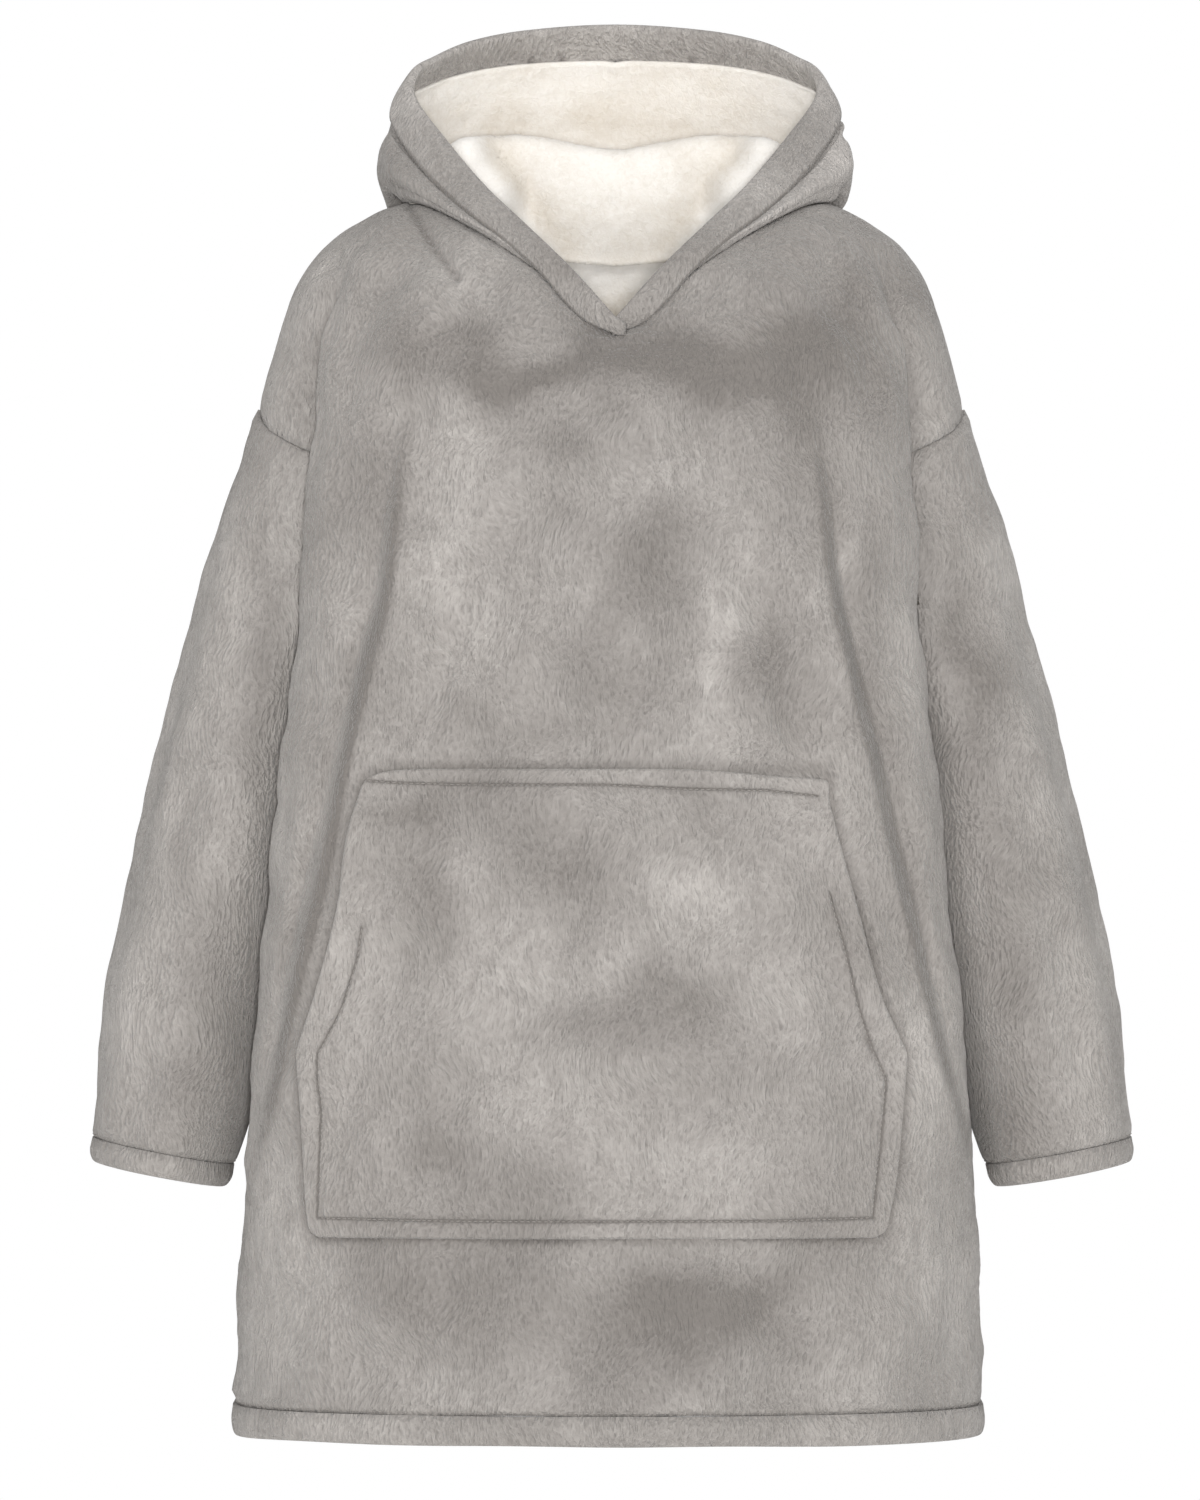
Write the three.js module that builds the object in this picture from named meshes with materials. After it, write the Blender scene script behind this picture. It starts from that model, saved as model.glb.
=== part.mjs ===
// Wearable blanket hoodie, filled out as if worn, with nothing inside it.
// Millimetres, +Z up, front towards -Y, +X to the right as seen from the front.
// The origin lies midway between the high points of the shoulders, where a wearer carries it.
import * as THREE from 'three';

// Driving sizes
const clothThickness = 5; // fleece outside and sherpa inside, sewn as one
const hoodCloth = 2.6; // each of the hood's two layers
const tipCloth = 0.45; // share of it at the hood's front tips
const layerGap = 0.4; // between pieces that are sewn together
const neckGap = 1.5; // between the hood and the neck, measured along the hood
const tipGap = 3.2; // the same at the hood's front tips
const bandGap = 1.6; // between the hood and its band, likewise
const hemZ = -893;
const hemDepth = 22;
const hemThickness = 7;
const cuffEnd = -706;
const cuffDepth = 17;
const cuffThickness = 7;
const bandThickness = 9; // the hood's folded casing
const pocketThickness = 3;
const pocketGap = 1.4; // between the pocket's sewn edge and the front
const pocketLift = 3; // how much further its middle stands off
const sectionPower = 2.3; // superellipse of the front and back
const shoulderProud = 2; // of the sleeve's head beyond the body at its seam
const sleeveClearance = 2.6; // between a sleeve and the body beside it
const creaseTop = -52; // where the fold beside the arm starts, below the shoulder
const creaseFull = -130;

// Columns of the cloth grids, for half of the body
const frontColumns = 10;
const capColumns = 4;
const innerColumns = 6; // side of a sleeve that lies against the body
const hoodRows = 14;
const calmPasses = 3; // smoothing of the hood's wall where it bends tightly
const tipColumns = 8; // over which the hood's cloth grows stiff and thin towards its front tips
const yokeRows = 5;
const yokeFlatness = 0.35; // share of a straight line in the shoulder's arcs

// Body sections. half is the half width at the side fold, front and back are the depths,
// frontFold and backFold the places of the side folds along Y, dent how far the arm presses in.
const bodySections = [
  { z: -60, half: 204, front: 100, frontFold: 40, back: 88, backFold: 42, dent: 0 },
  { z: -110, half: 209, front: 118, frontFold: 52, back: 106, backFold: 56, dent: 4 },
  { z: -180, half: 213, front: 136, frontFold: 64, back: 122, backFold: 70, dent: 12 },
  { z: -236, half: 219, front: 146, frontFold: 70, back: 131, backFold: 77, dent: 18 },
  { z: -292, half: 223, front: 152, frontFold: 74, back: 138, backFold: 82, dent: 21 },
  { z: -369, half: 232, front: 160, frontFold: 78, back: 146, backFold: 86, dent: 20 },
  { z: -434, half: 239, front: 165, frontFold: 80, back: 152, backFold: 88, dent: 18 },
  { z: -499, half: 246, front: 170, frontFold: 82, back: 158, backFold: 88, dent: 15 },
  { z: -580, half: 255, front: 177, frontFold: 82, back: 166, backFold: 88, dent: 11 },
  { z: -650, half: 262, front: 183, frontFold: 78, back: 174, backFold: 84, dent: 5 },
  { z: -725, half: 266.5, front: 188, frontFold: 62, back: 181, backFold: 66, dent: 0 },
  { z: -800, half: 269.5, front: 192, frontFold: 42, back: 187, backFold: 44, dent: 0 },
  { z: -895, half: 272, front: 197, frontFold: 22, back: 193, backFold: 24, dent: 0 },
];

// Outer side of the shoulder cap, and how deep the fold beside it is in front and behind.
const capSections = [
  { z: -60, outer: 228, middle: 8, frontStep: 0, backStep: 0 },
  { z: -96, outer: 241, middle: 8, frontStep: 7, backStep: 5 },
  { z: -148, outer: 255, middle: 8, frontStep: 14, backStep: 11 },
  { z: -183, outer: 264, middle: 8, frontStep: 17, backStep: 14 },
  { z: -292, outer: 300, middle: 8, frontStep: 20, backStep: 16 },
];

// Sleeve sections: outer and inner sides and the crown between them along X, front and back along Y.
const sleeveSections = [
  { z: -148, outer: 258, inner: 200, crown: 214, front: -46, back: 56, tilt: 0 },
  { z: -183, outer: 269, inner: 200, crown: 214, front: -47, back: 56, tilt: 0 },
  { z: -230, outer: 284, inner: 201, crown: 219, front: -52, back: 62, tilt: 0 },
  { z: -292, outer: 301, inner: 202, crown: 224, front: -54, back: 66, tilt: 0 },
  { z: -361, outer: 321.5, inner: 212, crown: 252, front: -64, back: 76, tilt: 0.05 },
  { z: -434, outer: 339.5, inner: 222, crown: 276, front: -72, back: 84, tilt: 0.08 },
  { z: -507, outer: 356.5, inner: 233, crown: 294, front: -76, back: 87, tilt: 0.11 },
  { z: -580, outer: 371, inner: 245, crown: 308, front: -77, back: 87, tilt: 0.14 },
  { z: -652, outer: 380, inner: 260, crown: 320, front: -75, back: 84, tilt: 0.17 },
  { z: -689, outer: 384, inner: 272, crown: 328, front: -72, back: 80, tilt: 0.19 },
  { z: -706, outer: 384, inner: 280, crown: 332, front: -70, back: 78, tilt: 0.19 },
];
const sleeveRows = [-334, -382, -434, -486, -538, -590, -640, cuffEnd + cuffDepth];

// Heights of the body's rows at the front, the side fold, the shoulder line and the back.
const bodyRows = [
  { front: -150, fold: -92, side: -74, back: -104 },
  { front: -178, fold: -137, side: -110, back: -150 },
  { front: -208, fold: -183, side: -148, back: -192 }, // armhole seam at the side
  { front: -240, fold: -219, side: -196, back: -228 },
  { front: -270, fold: -256, side: -244, back: -264 },
  { front: -300, fold: -292, side: -292, back: -300 }, // underarm
  { front: -362, fold: -362, side: -362, back: -362 },
  { front: -434, fold: -434, side: -434, back: -434 },
  { front: -506, fold: -506, side: -506, back: -506 },
  { front: -580, fold: -580, side: -580, back: -580 },
  { front: -650, fold: -650, side: -650, back: -650 },
  { front: -725, fold: -725, side: -725, back: -725 },
  { front: -800, fold: -800, side: -800, back: -800 },
  { front: hemZ + hemDepth, fold: hemZ + hemDepth, side: hemZ + hemDepth, back: hemZ + hemDepth },
];
const armhole = bodyRows[2];
const underarm = bodyRows[5];
const armholeRow = yokeRows + bodyRows.indexOf(armhole);
const underarmRow = yokeRows + bodyRows.indexOf(underarm);

// The neck seam, by the angle from the front, for one side.
const neckSeam = [
  { turn: 0, x: 0, y: -98, z: -97 },
  { turn: 12, x: 22, y: -94, z: -86 },
  { turn: 20, x: 38, y: -88, z: -71 },
  { turn: 27, x: 52, y: -81, z: -55 },
  { turn: 40, x: 76, y: -68, z: -37 },
  { turn: 55, x: 104, y: -46, z: -19 },
  { turn: 72, x: 136, y: -18, z: -2 },
  { turn: 90, x: 154, y: 10, z: 2 },
  { turn: 110, x: 140, y: 40, z: -6 },
  { turn: 130, x: 104, y: 58, z: -17 },
  { turn: 150, x: 62, y: 69, z: -28 },
  { turn: 180, x: 0, y: 74, z: -34 },
];
const foldTurn = 74; // where the body's side fold reaches the neck seam
const hoodBackColumns = 9; // of the hood, behind the side fold
const hoodTip = 5; // front column where the hood ends: further forward the band is sewn to the neck

// Long soft folds: their line from top to bottom, the width of the swell and its height (minus is a trough).
const frontFolds = [
  { topX: -146, topZ: -190, endX: -250, endZ: -730, width: 26, height: 9 },
  { topX: -176, topZ: -210, endX: -262, endZ: -690, width: 16, height: -7 },
  { topX: 152, topZ: -205, endX: 252, endZ: -690, width: 26, height: 9 },
  { topX: 182, topZ: -225, endX: 262, endZ: -660, width: 16, height: -7 },
  { topX: 70, topZ: -230, endX: 128, endZ: -425, width: 17, height: 5 },
  { topX: -192, topZ: -60, endX: -190, endZ: -170, width: 13, height: -5 },
  { topX: -238, topZ: -760, endX: -258, endZ: -850, width: 12, height: -4 },
  { topX: 30, topZ: -560, endX: 10, endZ: -880, width: 42, height: -5 },
];
const backFolds = [
  { topX: -120, topZ: -170, endX: -205, endZ: -840, width: 30, height: 10 },
  { topX: -158, topZ: -220, endX: -240, endZ: -760, width: 18, height: -7 },
  { topX: 112, topZ: -180, endX: 196, endZ: -870, width: 28, height: 9 },
  { topX: 150, topZ: -230, endX: 236, endZ: -740, width: 17, height: -7 },
  { topX: -30, topZ: -260, endX: -52, endZ: -880, width: 34, height: -8 },
  { topX: 40, topZ: -330, endX: 66, endZ: -880, width: 26, height: 6 },
];

// Hood, by the same angle as the neck seam. lip is where the neck stand turns over, dip the hollow behind it,
// bag the lowest point of the crown that hangs there and swell its widest place. Each is a pair: how far out
// from the neck and how far above the neck seam.
const hoodSections = [
  { turn: 27, lip: [0.3, 0.8], dip: [0.6, 1.5], bag: [0.9, 2.4], swell: [1.2, 3.2] },
  { turn: 40, lip: [0.7, 1.4], dip: [1.5, 2.6], bag: [2.4, 4], swell: [3.2, 5.6] },
  { turn: 55, lip: [2, 1.5], dip: [4, 3], bag: [6.5, 5], swell: [8.5, 9] },
  { turn: 72, lip: [4, 2.6], dip: [7.4, 5.2], bag: [10.5, 9], swell: [12.5, 16] },
  { turn: 90, lip: [5, 3], dip: [11, 7.5], bag: [17, 14], swell: [22.5, 28] },
  { turn: 110, lip: [4, 26], dip: [20, 12], bag: [36, 4], swell: [47, 42] },
  { turn: 130, lip: [0, 58], dip: [20, 26], bag: [52, -4], swell: [68, 58] },
  { turn: 150, lip: [-4, 74], dip: [17, 36], bag: [58, -5], swell: [78, 74] },
  { turn: 180, lip: [-4, 78], dip: [16, 38], bag: [58, -5], swell: [80, 82] },
];
// The two edges of the folded band: its seam to the hood, and its free rim.
const hoodEdge = [
  { turn: 0, seam: [0.6, -101, -92], rim: [0.6, -103, -85] },
  { turn: 12, seam: [24, -96, -81], rim: [9, -99, -75] },
  { turn: 20, seam: [40, -89, -66], rim: [22, -91, -60] },
  { turn: 27, seam: [55, -82, -49], rim: [36, -82, -45] },
  { turn: 40, seam: [81, -67, -28], rim: [64, -60, -18] },
  { turn: 55, seam: [111, -40, -4], rim: [95, -28, 13] },
  { turn: 72, seam: [141, -8, 26], rim: [123, 6, 47] },
  { turn: 90, seam: [164, 34, 60], rim: [143, 38, 77] },
  { turn: 102, seam: [160, 62, 74], rim: [144, 56, 93] },
  { turn: 115, seam: [142, 88, 85], rim: [130, 76, 106] },
  { turn: 130, seam: [114, 108, 93], rim: [104, 94, 117] },
  { turn: 150, seam: [72, 125, 102], rim: [66, 108, 127] },
  { turn: 180, seam: [0, 134, 107], rim: [0, 116, 133] },
];

// Folds of the neck stand: their distance from the centre at its foot and its top, width and depth.
const standFoot = -30;
const standHeight = 72;
const standFolds = {
  groove: { low: 30, top: 58, width: 13, depth: 9 },
  roll: { low: 52, top: 104, width: 19, depth: -10 },
};
const lowStand = 5; // height of the neck stand where it starts to roll over its top
const tallStand = 55; // and where it does so fully

// The band's rows from its folded edge to its seam: place along its width, and share of its full thickness.
const bandShares = [
  { along: 1, thick: 0.45 },
  { along: 0.86, thick: 0.92 },
  { along: 0.45, thick: 1 },
  { along: 0, thick: 0.62 },
];

// Pocket outline seen from the front: half widths on the left and right by height.
const pocketSections = [
  { z: -414, left: 170, right: 158 },
  { z: -421, left: 177, right: 157 },
  { z: -464, left: 187, right: 166 },
  { z: -509, left: 193, right: 178 },
  { z: -573, left: 209, right: 195 },
  { z: -615, left: 222, right: 213 },
  { z: -650, left: 220, right: 211 },
  { z: -700, left: 217, right: 206 },
  { z: -738, left: 214, right: 199 },
  { z: -746, left: 206, right: 190 },
];
const pocketColumns = 14;
const pocketRise = 3; // cells from its edge over which it rises

const fleece = { color: 0xa29d98, roughness: 0.95, metalness: 0 };
const sherpa = { color: 0xece7dd, roughness: 0.98, metalness: 0 };

const mix = (a, b, t) => a + (b - a) * t;
const clamp01 = (t) => Math.min(1, Math.max(0, t));
const ease = (t) => clamp01(t) ** 2 * (3 - 2 * clamp01(t));
const bell = (d, width) => Math.exp(-((d / width) ** 2));
const radians = THREE.MathUtils.degToRad;

// A smooth value from one column of a table whose rows run along key, up or down. Where a cell of the column
// is a list, part says which of its values is read.
function read(table, key, at, column, part = null) {
  const cell = (row) => (part === null ? row[column] : row[column][part]);
  const down = table[0][key] > table[table.length - 1][key];
  const rows = down ? [...table].reverse() : table;
  const last = rows.length - 1;
  if (at <= rows[0][key]) return cell(rows[0]);
  if (at >= rows[last][key]) return cell(rows[last]);
  const i = rows.findIndex((row, k) => k < last && at < rows[k + 1][key]);
  const span = rows[i + 1][key] - rows[i][key];
  const slope = (k) => {
    const low = rows[Math.max(0, k - 1)];
    const high = rows[Math.min(last, k + 1)];
    return (cell(high) - cell(low)) / (high[key] - low[key]);
  };
  const t = (at - rows[i][key]) / span;
  const start = cell(rows[i]);
  const end = cell(rows[i + 1]);
  return (
    start * (1 + 2 * t) * (1 - t) ** 2 + end * t * t * (3 - 2 * t) +
    span * (slope(i) * t * (1 - t) ** 2 - slope(i + 1) * t * t * (1 - t))
  );
}

function bodyAt(z) {
  const value = (column) => read(bodySections, 'z', z, column);
  return {
    half: value('half'), front: value('front'), frontFold: value('frontFold'),
    back: value('back'), backFold: value('backFold'), dent: value('dent'),
    creased: ease((creaseTop - z) / (creaseTop - creaseFull)),
  };
}

function foldHeight(folds, x, z) {
  let height = 0;
  for (const fold of folds) {
    const t = (fold.topZ - z) / (fold.topZ - fold.endZ);
    const fade = ease(t / 0.2) * ease((1 - t) / 0.25);
    height += fold.height * fade * bell(x - mix(fold.topX, fold.endX, t), fold.width);
  }
  return height;
}

const arch = (share) => Math.max(0, 1 - Math.abs(share) ** sectionPower) ** (1 / sectionPower);

// Depth of the front or back at x, and of the shoulder cap beyond the side fold.
function panelDepth(x, z, isFront, onCap) {
  const body = bodyAt(z);
  const depth = isFront ? body.front : body.back;
  const fold = isFront ? body.frontFold : body.backFold;
  const outer = read(capSections, 'z', z, 'outer');
  const middle = read(capSections, 'z', z, 'middle') * (isFront ? -1 : 1);
  const smooth = middle + (depth - middle) * arch(x / outer);
  let creased = fold + (depth - fold) * arch(x / body.half);
  if (onCap) {
    const step = read(capSections, 'z', z, isFront ? 'frontStep' : 'backStep');
    const across = clamp01((Math.abs(x) - body.half) / (outer - body.half));
    creased = middle + (fold - step - middle) * Math.sqrt(1 - across * across);
  }
  const soft = foldHeight(isFront ? frontFolds : backFolds, x, z) * ease((body.half - Math.abs(x)) / 14);
  return mix(smooth, creased, body.creased) + soft;
}

// X of the body's flank between its two side folds.
function flankX(y, z) {
  const body = bodyAt(z);
  const along = clamp01((y + body.frontFold) / (body.frontFold + body.backFold));
  return body.half - body.dent * Math.sin(Math.PI * along) ** 2;
}

const point = (x, y, z) => new THREE.Vector3(x, y, z);
const mirrored = (row) => row.map((p) => point(-p.x, p.y, p.z));
const step = (from, to, distance) => from.clone().add(to.clone().sub(from).setLength(distance));

function neckPoint(turn, side) {
  const value = (column) => read(neckSeam, 'turn', turn, column);
  return point(side * value('x'), value('y'), value('z'));
}

// One column of the half body. zone is front, frontCap, backCap or back; t runs from the centre outwards.
function bodyColumns() {
  const columns = [];
  for (let i = 0; i <= frontColumns; i++) columns.push({ zone: 'front', t: i / frontColumns });
  for (let i = 0; i <= capColumns; i++) columns.push({ zone: 'frontCap', t: i / capColumns });
  for (let i = capColumns - 1; i >= 0; i--) columns.push({ zone: 'backCap', t: i / capColumns });
  for (let i = frontColumns; i >= 0; i--) columns.push({ zone: 'back', t: i / frontColumns });
  return columns;
}

// A point of the body's outer face, on its right half, at the height of row and place of column.
function bodyPoint(row, column) {
  const isFront = column.zone.startsWith('front');
  const sign = isFront ? -1 : 1;
  const middle = isFront ? row.front : row.back;
  if (!column.zone.endsWith('Cap')) {
    const z = mix(middle, row.fold, ease(column.t));
    const x = bodyAt(z).half * Math.sin((column.t * Math.PI) / 2) ** (2 / sectionPower);
    return point(x, sign * panelDepth(x, z, isFront, false), z);
  }
  const z = mix(row.fold, row.side, column.t);
  const body = bodyAt(z);
  const step = read(capSections, 'z', z, isFront ? 'frontStep' : 'backStep');
  if (z <= underarm.side + 0.01) {
    const from = -body.frontFold + step;
    const to = body.backFold - step;
    const y = isFront ? mix(from, (from + to) / 2, column.t) : mix(to, (from + to) / 2, column.t);
    return point(flankX(y, z), y, z);
  }
  const fold = isFront ? body.frontFold : body.backFold;
  const start = mix(body.half + 4, flankX(sign * (fold - step), z), body.creased);
  const outer = read(capSections, 'z', z, 'outer');
  const x = mix(start, outer, Math.sin((column.t * Math.PI) / 2));
  return point(x, sign * panelDepth(Math.max(x, body.half), z, isFront, true), z);
}

// The yoke: arcs from the neck seam to the first row of the body, flattened a little.
function yokePoint(t, turn, base) {
  const neck = neckPoint(turn, 1);
  const out = mix(Math.sin((t * Math.PI) / 2), t, yokeFlatness);
  const down = mix(1 - Math.cos((t * Math.PI) / 2), t, yokeFlatness);
  return point(mix(neck.x, base.x, out), mix(neck.y, base.y, out), mix(neck.z, base.z, down));
}

function neckTurn(column) {
  const isFront = column.zone.startsWith('front');
  const turn = column.zone.endsWith('Cap') ? mix(foldTurn, 90, column.t) : foldTurn * column.t;
  return isFront ? turn : 180 - turn;
}

const columns = bodyColumns();

// Rows of points over the right half of the body, from the neck seam to the top of the hem.
const halfBody = [];
for (let j = 0; j < yokeRows; j++) {
  const onYoke = (column) => yokePoint(j / yokeRows, neckTurn(column), bodyPoint(bodyRows[0], column));
  halfBody.push(columns.map(onYoke));
}
for (const row of bodyRows) halfBody.push(columns.map((column) => bodyPoint(row, column)));
const hemRow = halfBody.length - 1;
const hemEnd = { front: hemZ, fold: hemZ, side: hemZ, back: hemZ };
halfBody.push(...turnedRows(halfBody[hemRow], columns.map((column) => bodyPoint(hemEnd, column))));

const group = new THREE.Group();

function addMesh(name, positions, triangles, finish) {
  const geometry = new THREE.BufferGeometry();
  geometry.setAttribute('position', new THREE.Float32BufferAttribute(positions, 3));
  geometry.setIndex(triangles);
  const mesh = new THREE.Mesh(geometry, new THREE.MeshStandardMaterial(finish));
  mesh.name = name;
  group.add(mesh);
}

const isKept = (kept, j, i) => !kept || kept(j, i);

// Unit normals of a grid of points, from its kept cells. The rows beside a seam share theirs, and those of
// mirrorColumns stay in the plane between left and right. Where the cloth is stiff, the rows below the seam
// take its direction.
function gridNormals(grid, closed, kept, { seam, mirrorColumns, stiff, calmPasses }) {
  const rows = grid.length;
  const count = grid[0].length;
  const cells = closed ? count : count - 1;
  const normals = grid.map((row) => row.map(() => point(0, 0, 0)));
  for (let j = 0; j < rows - 1; j++) {
    for (let i = 0; i < cells; i++) {
      if (!isKept(kept, j, i)) continue;
      const corners = [[j, i], [j, (i + 1) % count], [j + 1, (i + 1) % count], [j + 1, i]];
      const [a, b, c, d] = corners.map(([row, column]) => grid[row][column]);
      const normal = c.clone().sub(a).cross(d.clone().sub(b)).normalize();
      for (const [row, column] of corners) normals[row][column].add(normal);
    }
  }
  if (seam !== null) {
    for (let i = 0; i < count; i++) {
      normals[seam][i].add(normals[seam + 1][i]);
      normals[seam + 1][i].copy(normals[seam][i]);
    }
  }
  if (stiff) {
    for (let j = seam + 2; j < rows; j++) {
      for (let i = 0; i < count; i++) {
        const across = normals[seam][i].clone().normalize();
        normals[j][i].normalize().lerp(across, stiff(i));
      }
    }
  }
  for (let pass = 0; pass < calmPasses; pass++) {
    for (const row of normals) row.forEach((normal) => normal.normalize());
    const before = normals.map((row) => row.map((normal) => normal.clone()));
    for (let j = seam + 2; j < rows - 1; j++) {
      for (let i = 0; i < count; i++) normals[j][i].add(before[j - 1][i]).add(before[j + 1][i]);
    }
  }
  for (const row of normals) for (const i of mirrorColumns) row[i].x = 0;
  return normals.map((row) => row.map((normal) => normal.normalize()));
}

// A closed wall of cloth over the kept cells of a grid, whose points are its outer face. The wall's direction
// comes from all the cells that smooth names, so that two pieces cut from one grid meet in one line.
function addWall(name, grid, finish, options) {
  const { thickness, closed = false, kept = null, smooth = kept, taper = null, flip = false } = options;
  const count = grid[0].length;
  const cells = closed ? count : count - 1;
  const plain = { seam: null, mirrorColumns: [], calmPasses: 0 };
  const normals = gridNormals(grid, closed, smooth, { ...plain, ...options });
  const direction = flip ? -1 : 1;
  const used = new Map();
  const positions = [];
  const triangles = [];
  const vertex = (layer, j, i) => {
    const key = `${layer},${j},${i}`;
    if (!used.has(key)) {
      const faces = taper ? taper(j, i) : { outer: 0, inner: thickness };
      const depth = (layer === 0 ? faces.outer : faces.inner) * direction;
      const p = grid[j][i].clone().addScaledVector(normals[j][i], depth);
      used.set(key, positions.length / 3);
      positions.push(p.x, p.y, p.z);
    }
    return used.get(key);
  };
  const quad = (a, b, c, d) => triangles.push(a, b, c, a, c, d);
  const has = (j, i) => {
    const wrapped = closed ? (i + cells) % cells : i;
    return j >= 0 && j < grid.length - 1 && wrapped >= 0 && wrapped < cells && isKept(kept, j, wrapped);
  };
  for (let j = 0; j < grid.length - 1; j++) {
    for (let i = 0; i < cells; i++) {
      if (!has(j, i)) continue;
      const next = (i + 1) % count;
      const corners = [[j, i], [j, next], [j + 1, next], [j + 1, i]];
      const [a, b, c, d] = corners.map(([row, column]) => vertex(0, row, column));
      const [e, f, g, h] = corners.map(([row, column]) => vertex(1, row, column));
      quad(a, b, c, d);
      quad(e, h, g, f);
      if (!has(j - 1, i)) quad(b, a, e, f);
      if (!has(j + 1, i)) quad(d, c, g, h);
      if (!has(j, i - 1)) quad(a, d, h, e);
      if (!has(j, i + 1)) quad(c, b, f, g);
    }
  }
  if (!flip) {
    for (let t = 0; t < triangles.length; t += 3) {
      [triangles[t], triangles[t + 1]] = [triangles[t + 1], triangles[t]];
    }
  }
  addMesh(name, positions, triangles, finish);
}

// Front and back are cut from one ring of columns: round the right side first, from the front's centre.
const sideColumn = frontColumns + 1 + capColumns;
const ringOf = (half) => [...half, ...mirrored(half.slice(1, -1)).reverse()];

function addPanel(name, isFront) {
  const grid = halfBody.map(ringOf);
  const count = grid[0].length;
  const isNear = (i, column) => Math.abs(i + 0.5 - column) < capColumns;
  const isSide = (i) => isNear(i, sideColumn) || isNear(i, count - sideColumn);
  const inArmhole = (j, i) => j >= armholeRow && j < underarmRow && isSide(i);
  const ofFront = (i) => i < sideColumn || i >= count - sideColumn;
  if (!isFront) {
    for (const row of grid) {
      row[sideColumn] = step(row[sideColumn], row[sideColumn + 1], layerGap);
      row[count - sideColumn] = step(row[count - sideColumn], row[count - sideColumn - 1], layerGap);
    }
  }
  addWall(name, grid, fleece, {
    thickness: clothThickness,
    closed: true,
    kept: (j, i) => j < hemRow && !inArmhole(j, i) && ofFront(i) === isFront,
    smooth: (j, i) => j !== hemRow && !inArmhole(j, i),
    seam: hemRow,
  });
}

function addHem() {
  addWall('hem', halfBody.map(ringOf), fleece, {
    closed: true,
    kept: (j) => j > hemRow,
    smooth: (j) => j !== hemRow,
    seam: hemRow,
    taper: (j) => turnedFaces(j - hemRow - 1, hemThickness),
  });
}

// Right sleeve: columns run from the front fold round the outside to the back fold, then along the body.
function sleevePoint(z, index) {
  const outerColumns = 2 * capColumns;
  const value = (column) => read(sleeveSections, 'z', z, column);
  const crown = value('crown');
  const centre = (value('front') + value('back')) / 2;
  const reach = (value('back') - value('front')) / 2;
  const isOuter = index <= outerColumns;
  const halfTurns = isOuter ? index / outerColumns : 1 + (index - outerColumns) / innerColumns;
  const turn = Math.PI * halfTurns;
  const width = isOuter ? value('outer') - crown : crown - value('inner');
  const y = centre - reach * Math.cos(turn);
  let x = crown + width * Math.sin(turn);
  if (!isOuter) x = Math.max(x, flankX(y, z) + sleeveClearance);
  return point(x, y, z + value('tilt') * (x - crown));
}

function sleeveGrid() {
  const outerColumns = 2 * capColumns;
  const count = outerColumns + innerColumns;
  const rows = [];
  for (let j = armholeRow; j <= underarmRow; j++) {
    const share = (j - armholeRow) / (underarmRow - armholeRow);
    const row = [];
    for (let i = 0; i < count; i++) {
      const base = bodyRows[j - yokeRows];
      const inwards = Math.abs(i / capColumns - 1);
      const z = i <= outerColumns ? mix(base.side, base.fold, inwards) : base.side;
      const p = sleevePoint(z, i);
      if (i <= outerColumns && share < 1) {
        const zone = i < capColumns ? 'frontCap' : 'backCap';
        const onBody = bodyPoint(base, { zone, t: 1 - inwards });
        if (share === 0) p.copy(onBody).add(point(shoulderProud * (1 - inwards), 0, 0));
        else p.lerp(onBody, 1 - ease(share));
        if (i === 0 || i === outerColumns) p.copy(onBody).add(point(layerGap, 0, 0));
      }
      row.push(p);
    }
    rows.push(row);
  }
  for (const z of sleeveRows) rows.push(Array.from({ length: count }, (_, i) => sleevePoint(z, i)));
  return rows;
}

function dropRow(row, target, distance) {
  return row.map((p, i) => step(p, target[i], distance));
}

// Faces of a turned edge at its last three rows: a little thicker than the cloth, and rounded below.
function turnedFaces(row, thickness) {
  const proud = row < 2 ? (thickness - clothThickness) / 2 : -thickness * 0.15;
  return { outer: -proud, inner: clothThickness + proud };
}

// Rows of a turned edge: its top just below the cloth, a row above its rounding, and its end.
function turnedRows(last, end) {
  const top = dropRow(last, end, layerGap);
  return [top, top.map((p, i) => p.clone().lerp(end[i], 0.75)), end];
}

function addSleeve(name, side) {
  const cloth = sleeveGrid();
  cloth[0] = dropRow(cloth[0], cloth[1], layerGap);
  const end = Array.from({ length: cloth[0].length }, (_, i) => sleevePoint(cuffEnd, i));
  const grid = [...cloth, ...turnedRows(cloth[cloth.length - 1], end)];
  const placed = side > 0 ? grid : grid.map(mirrored);
  const openRows = underarmRow - armholeRow;
  const lastRow = cloth.length - 1;
  const exists = (j, i) => j !== lastRow && (j >= openRows || i < 2 * capColumns);
  const common = { closed: true, smooth: exists, flip: side < 0, seam: lastRow };
  addWall(name, placed, fleece, {
    ...common,
    thickness: clothThickness,
    kept: (j, i) => j < lastRow && exists(j, i),
  });
  addWall(`cuff_${name.split('_')[1]}`, placed, fleece, {
    ...common,
    kept: (j) => j > lastRow,
    taper: (j) => turnedFaces(j - cloth.length, cuffThickness),
  });
}

// Pocket: the front's own points, moved out, and further out away from its edges.
function addPocket() {
  const lift = (j, i) => {
    const fromEdge = Math.min(j, pocketSections.length - 1 - j, i, pocketColumns - i);
    return pocketGap + pocketLift * ease(fromEdge / pocketRise);
  };
  const grid = pocketSections.map(({ z, left, right }) =>
    Array.from({ length: pocketColumns + 1 }, (_, i) => {
      const x = mix(-left, right, i / pocketColumns);
      return point(x, -panelDepth(x, z, true, false), z);
    }),
  );
  addWall('pocket', grid, fleece, {
    taper: (j, i) => ({ outer: -lift(j, i) - pocketThickness, inner: -lift(j, i) }),
  });
}

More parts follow.
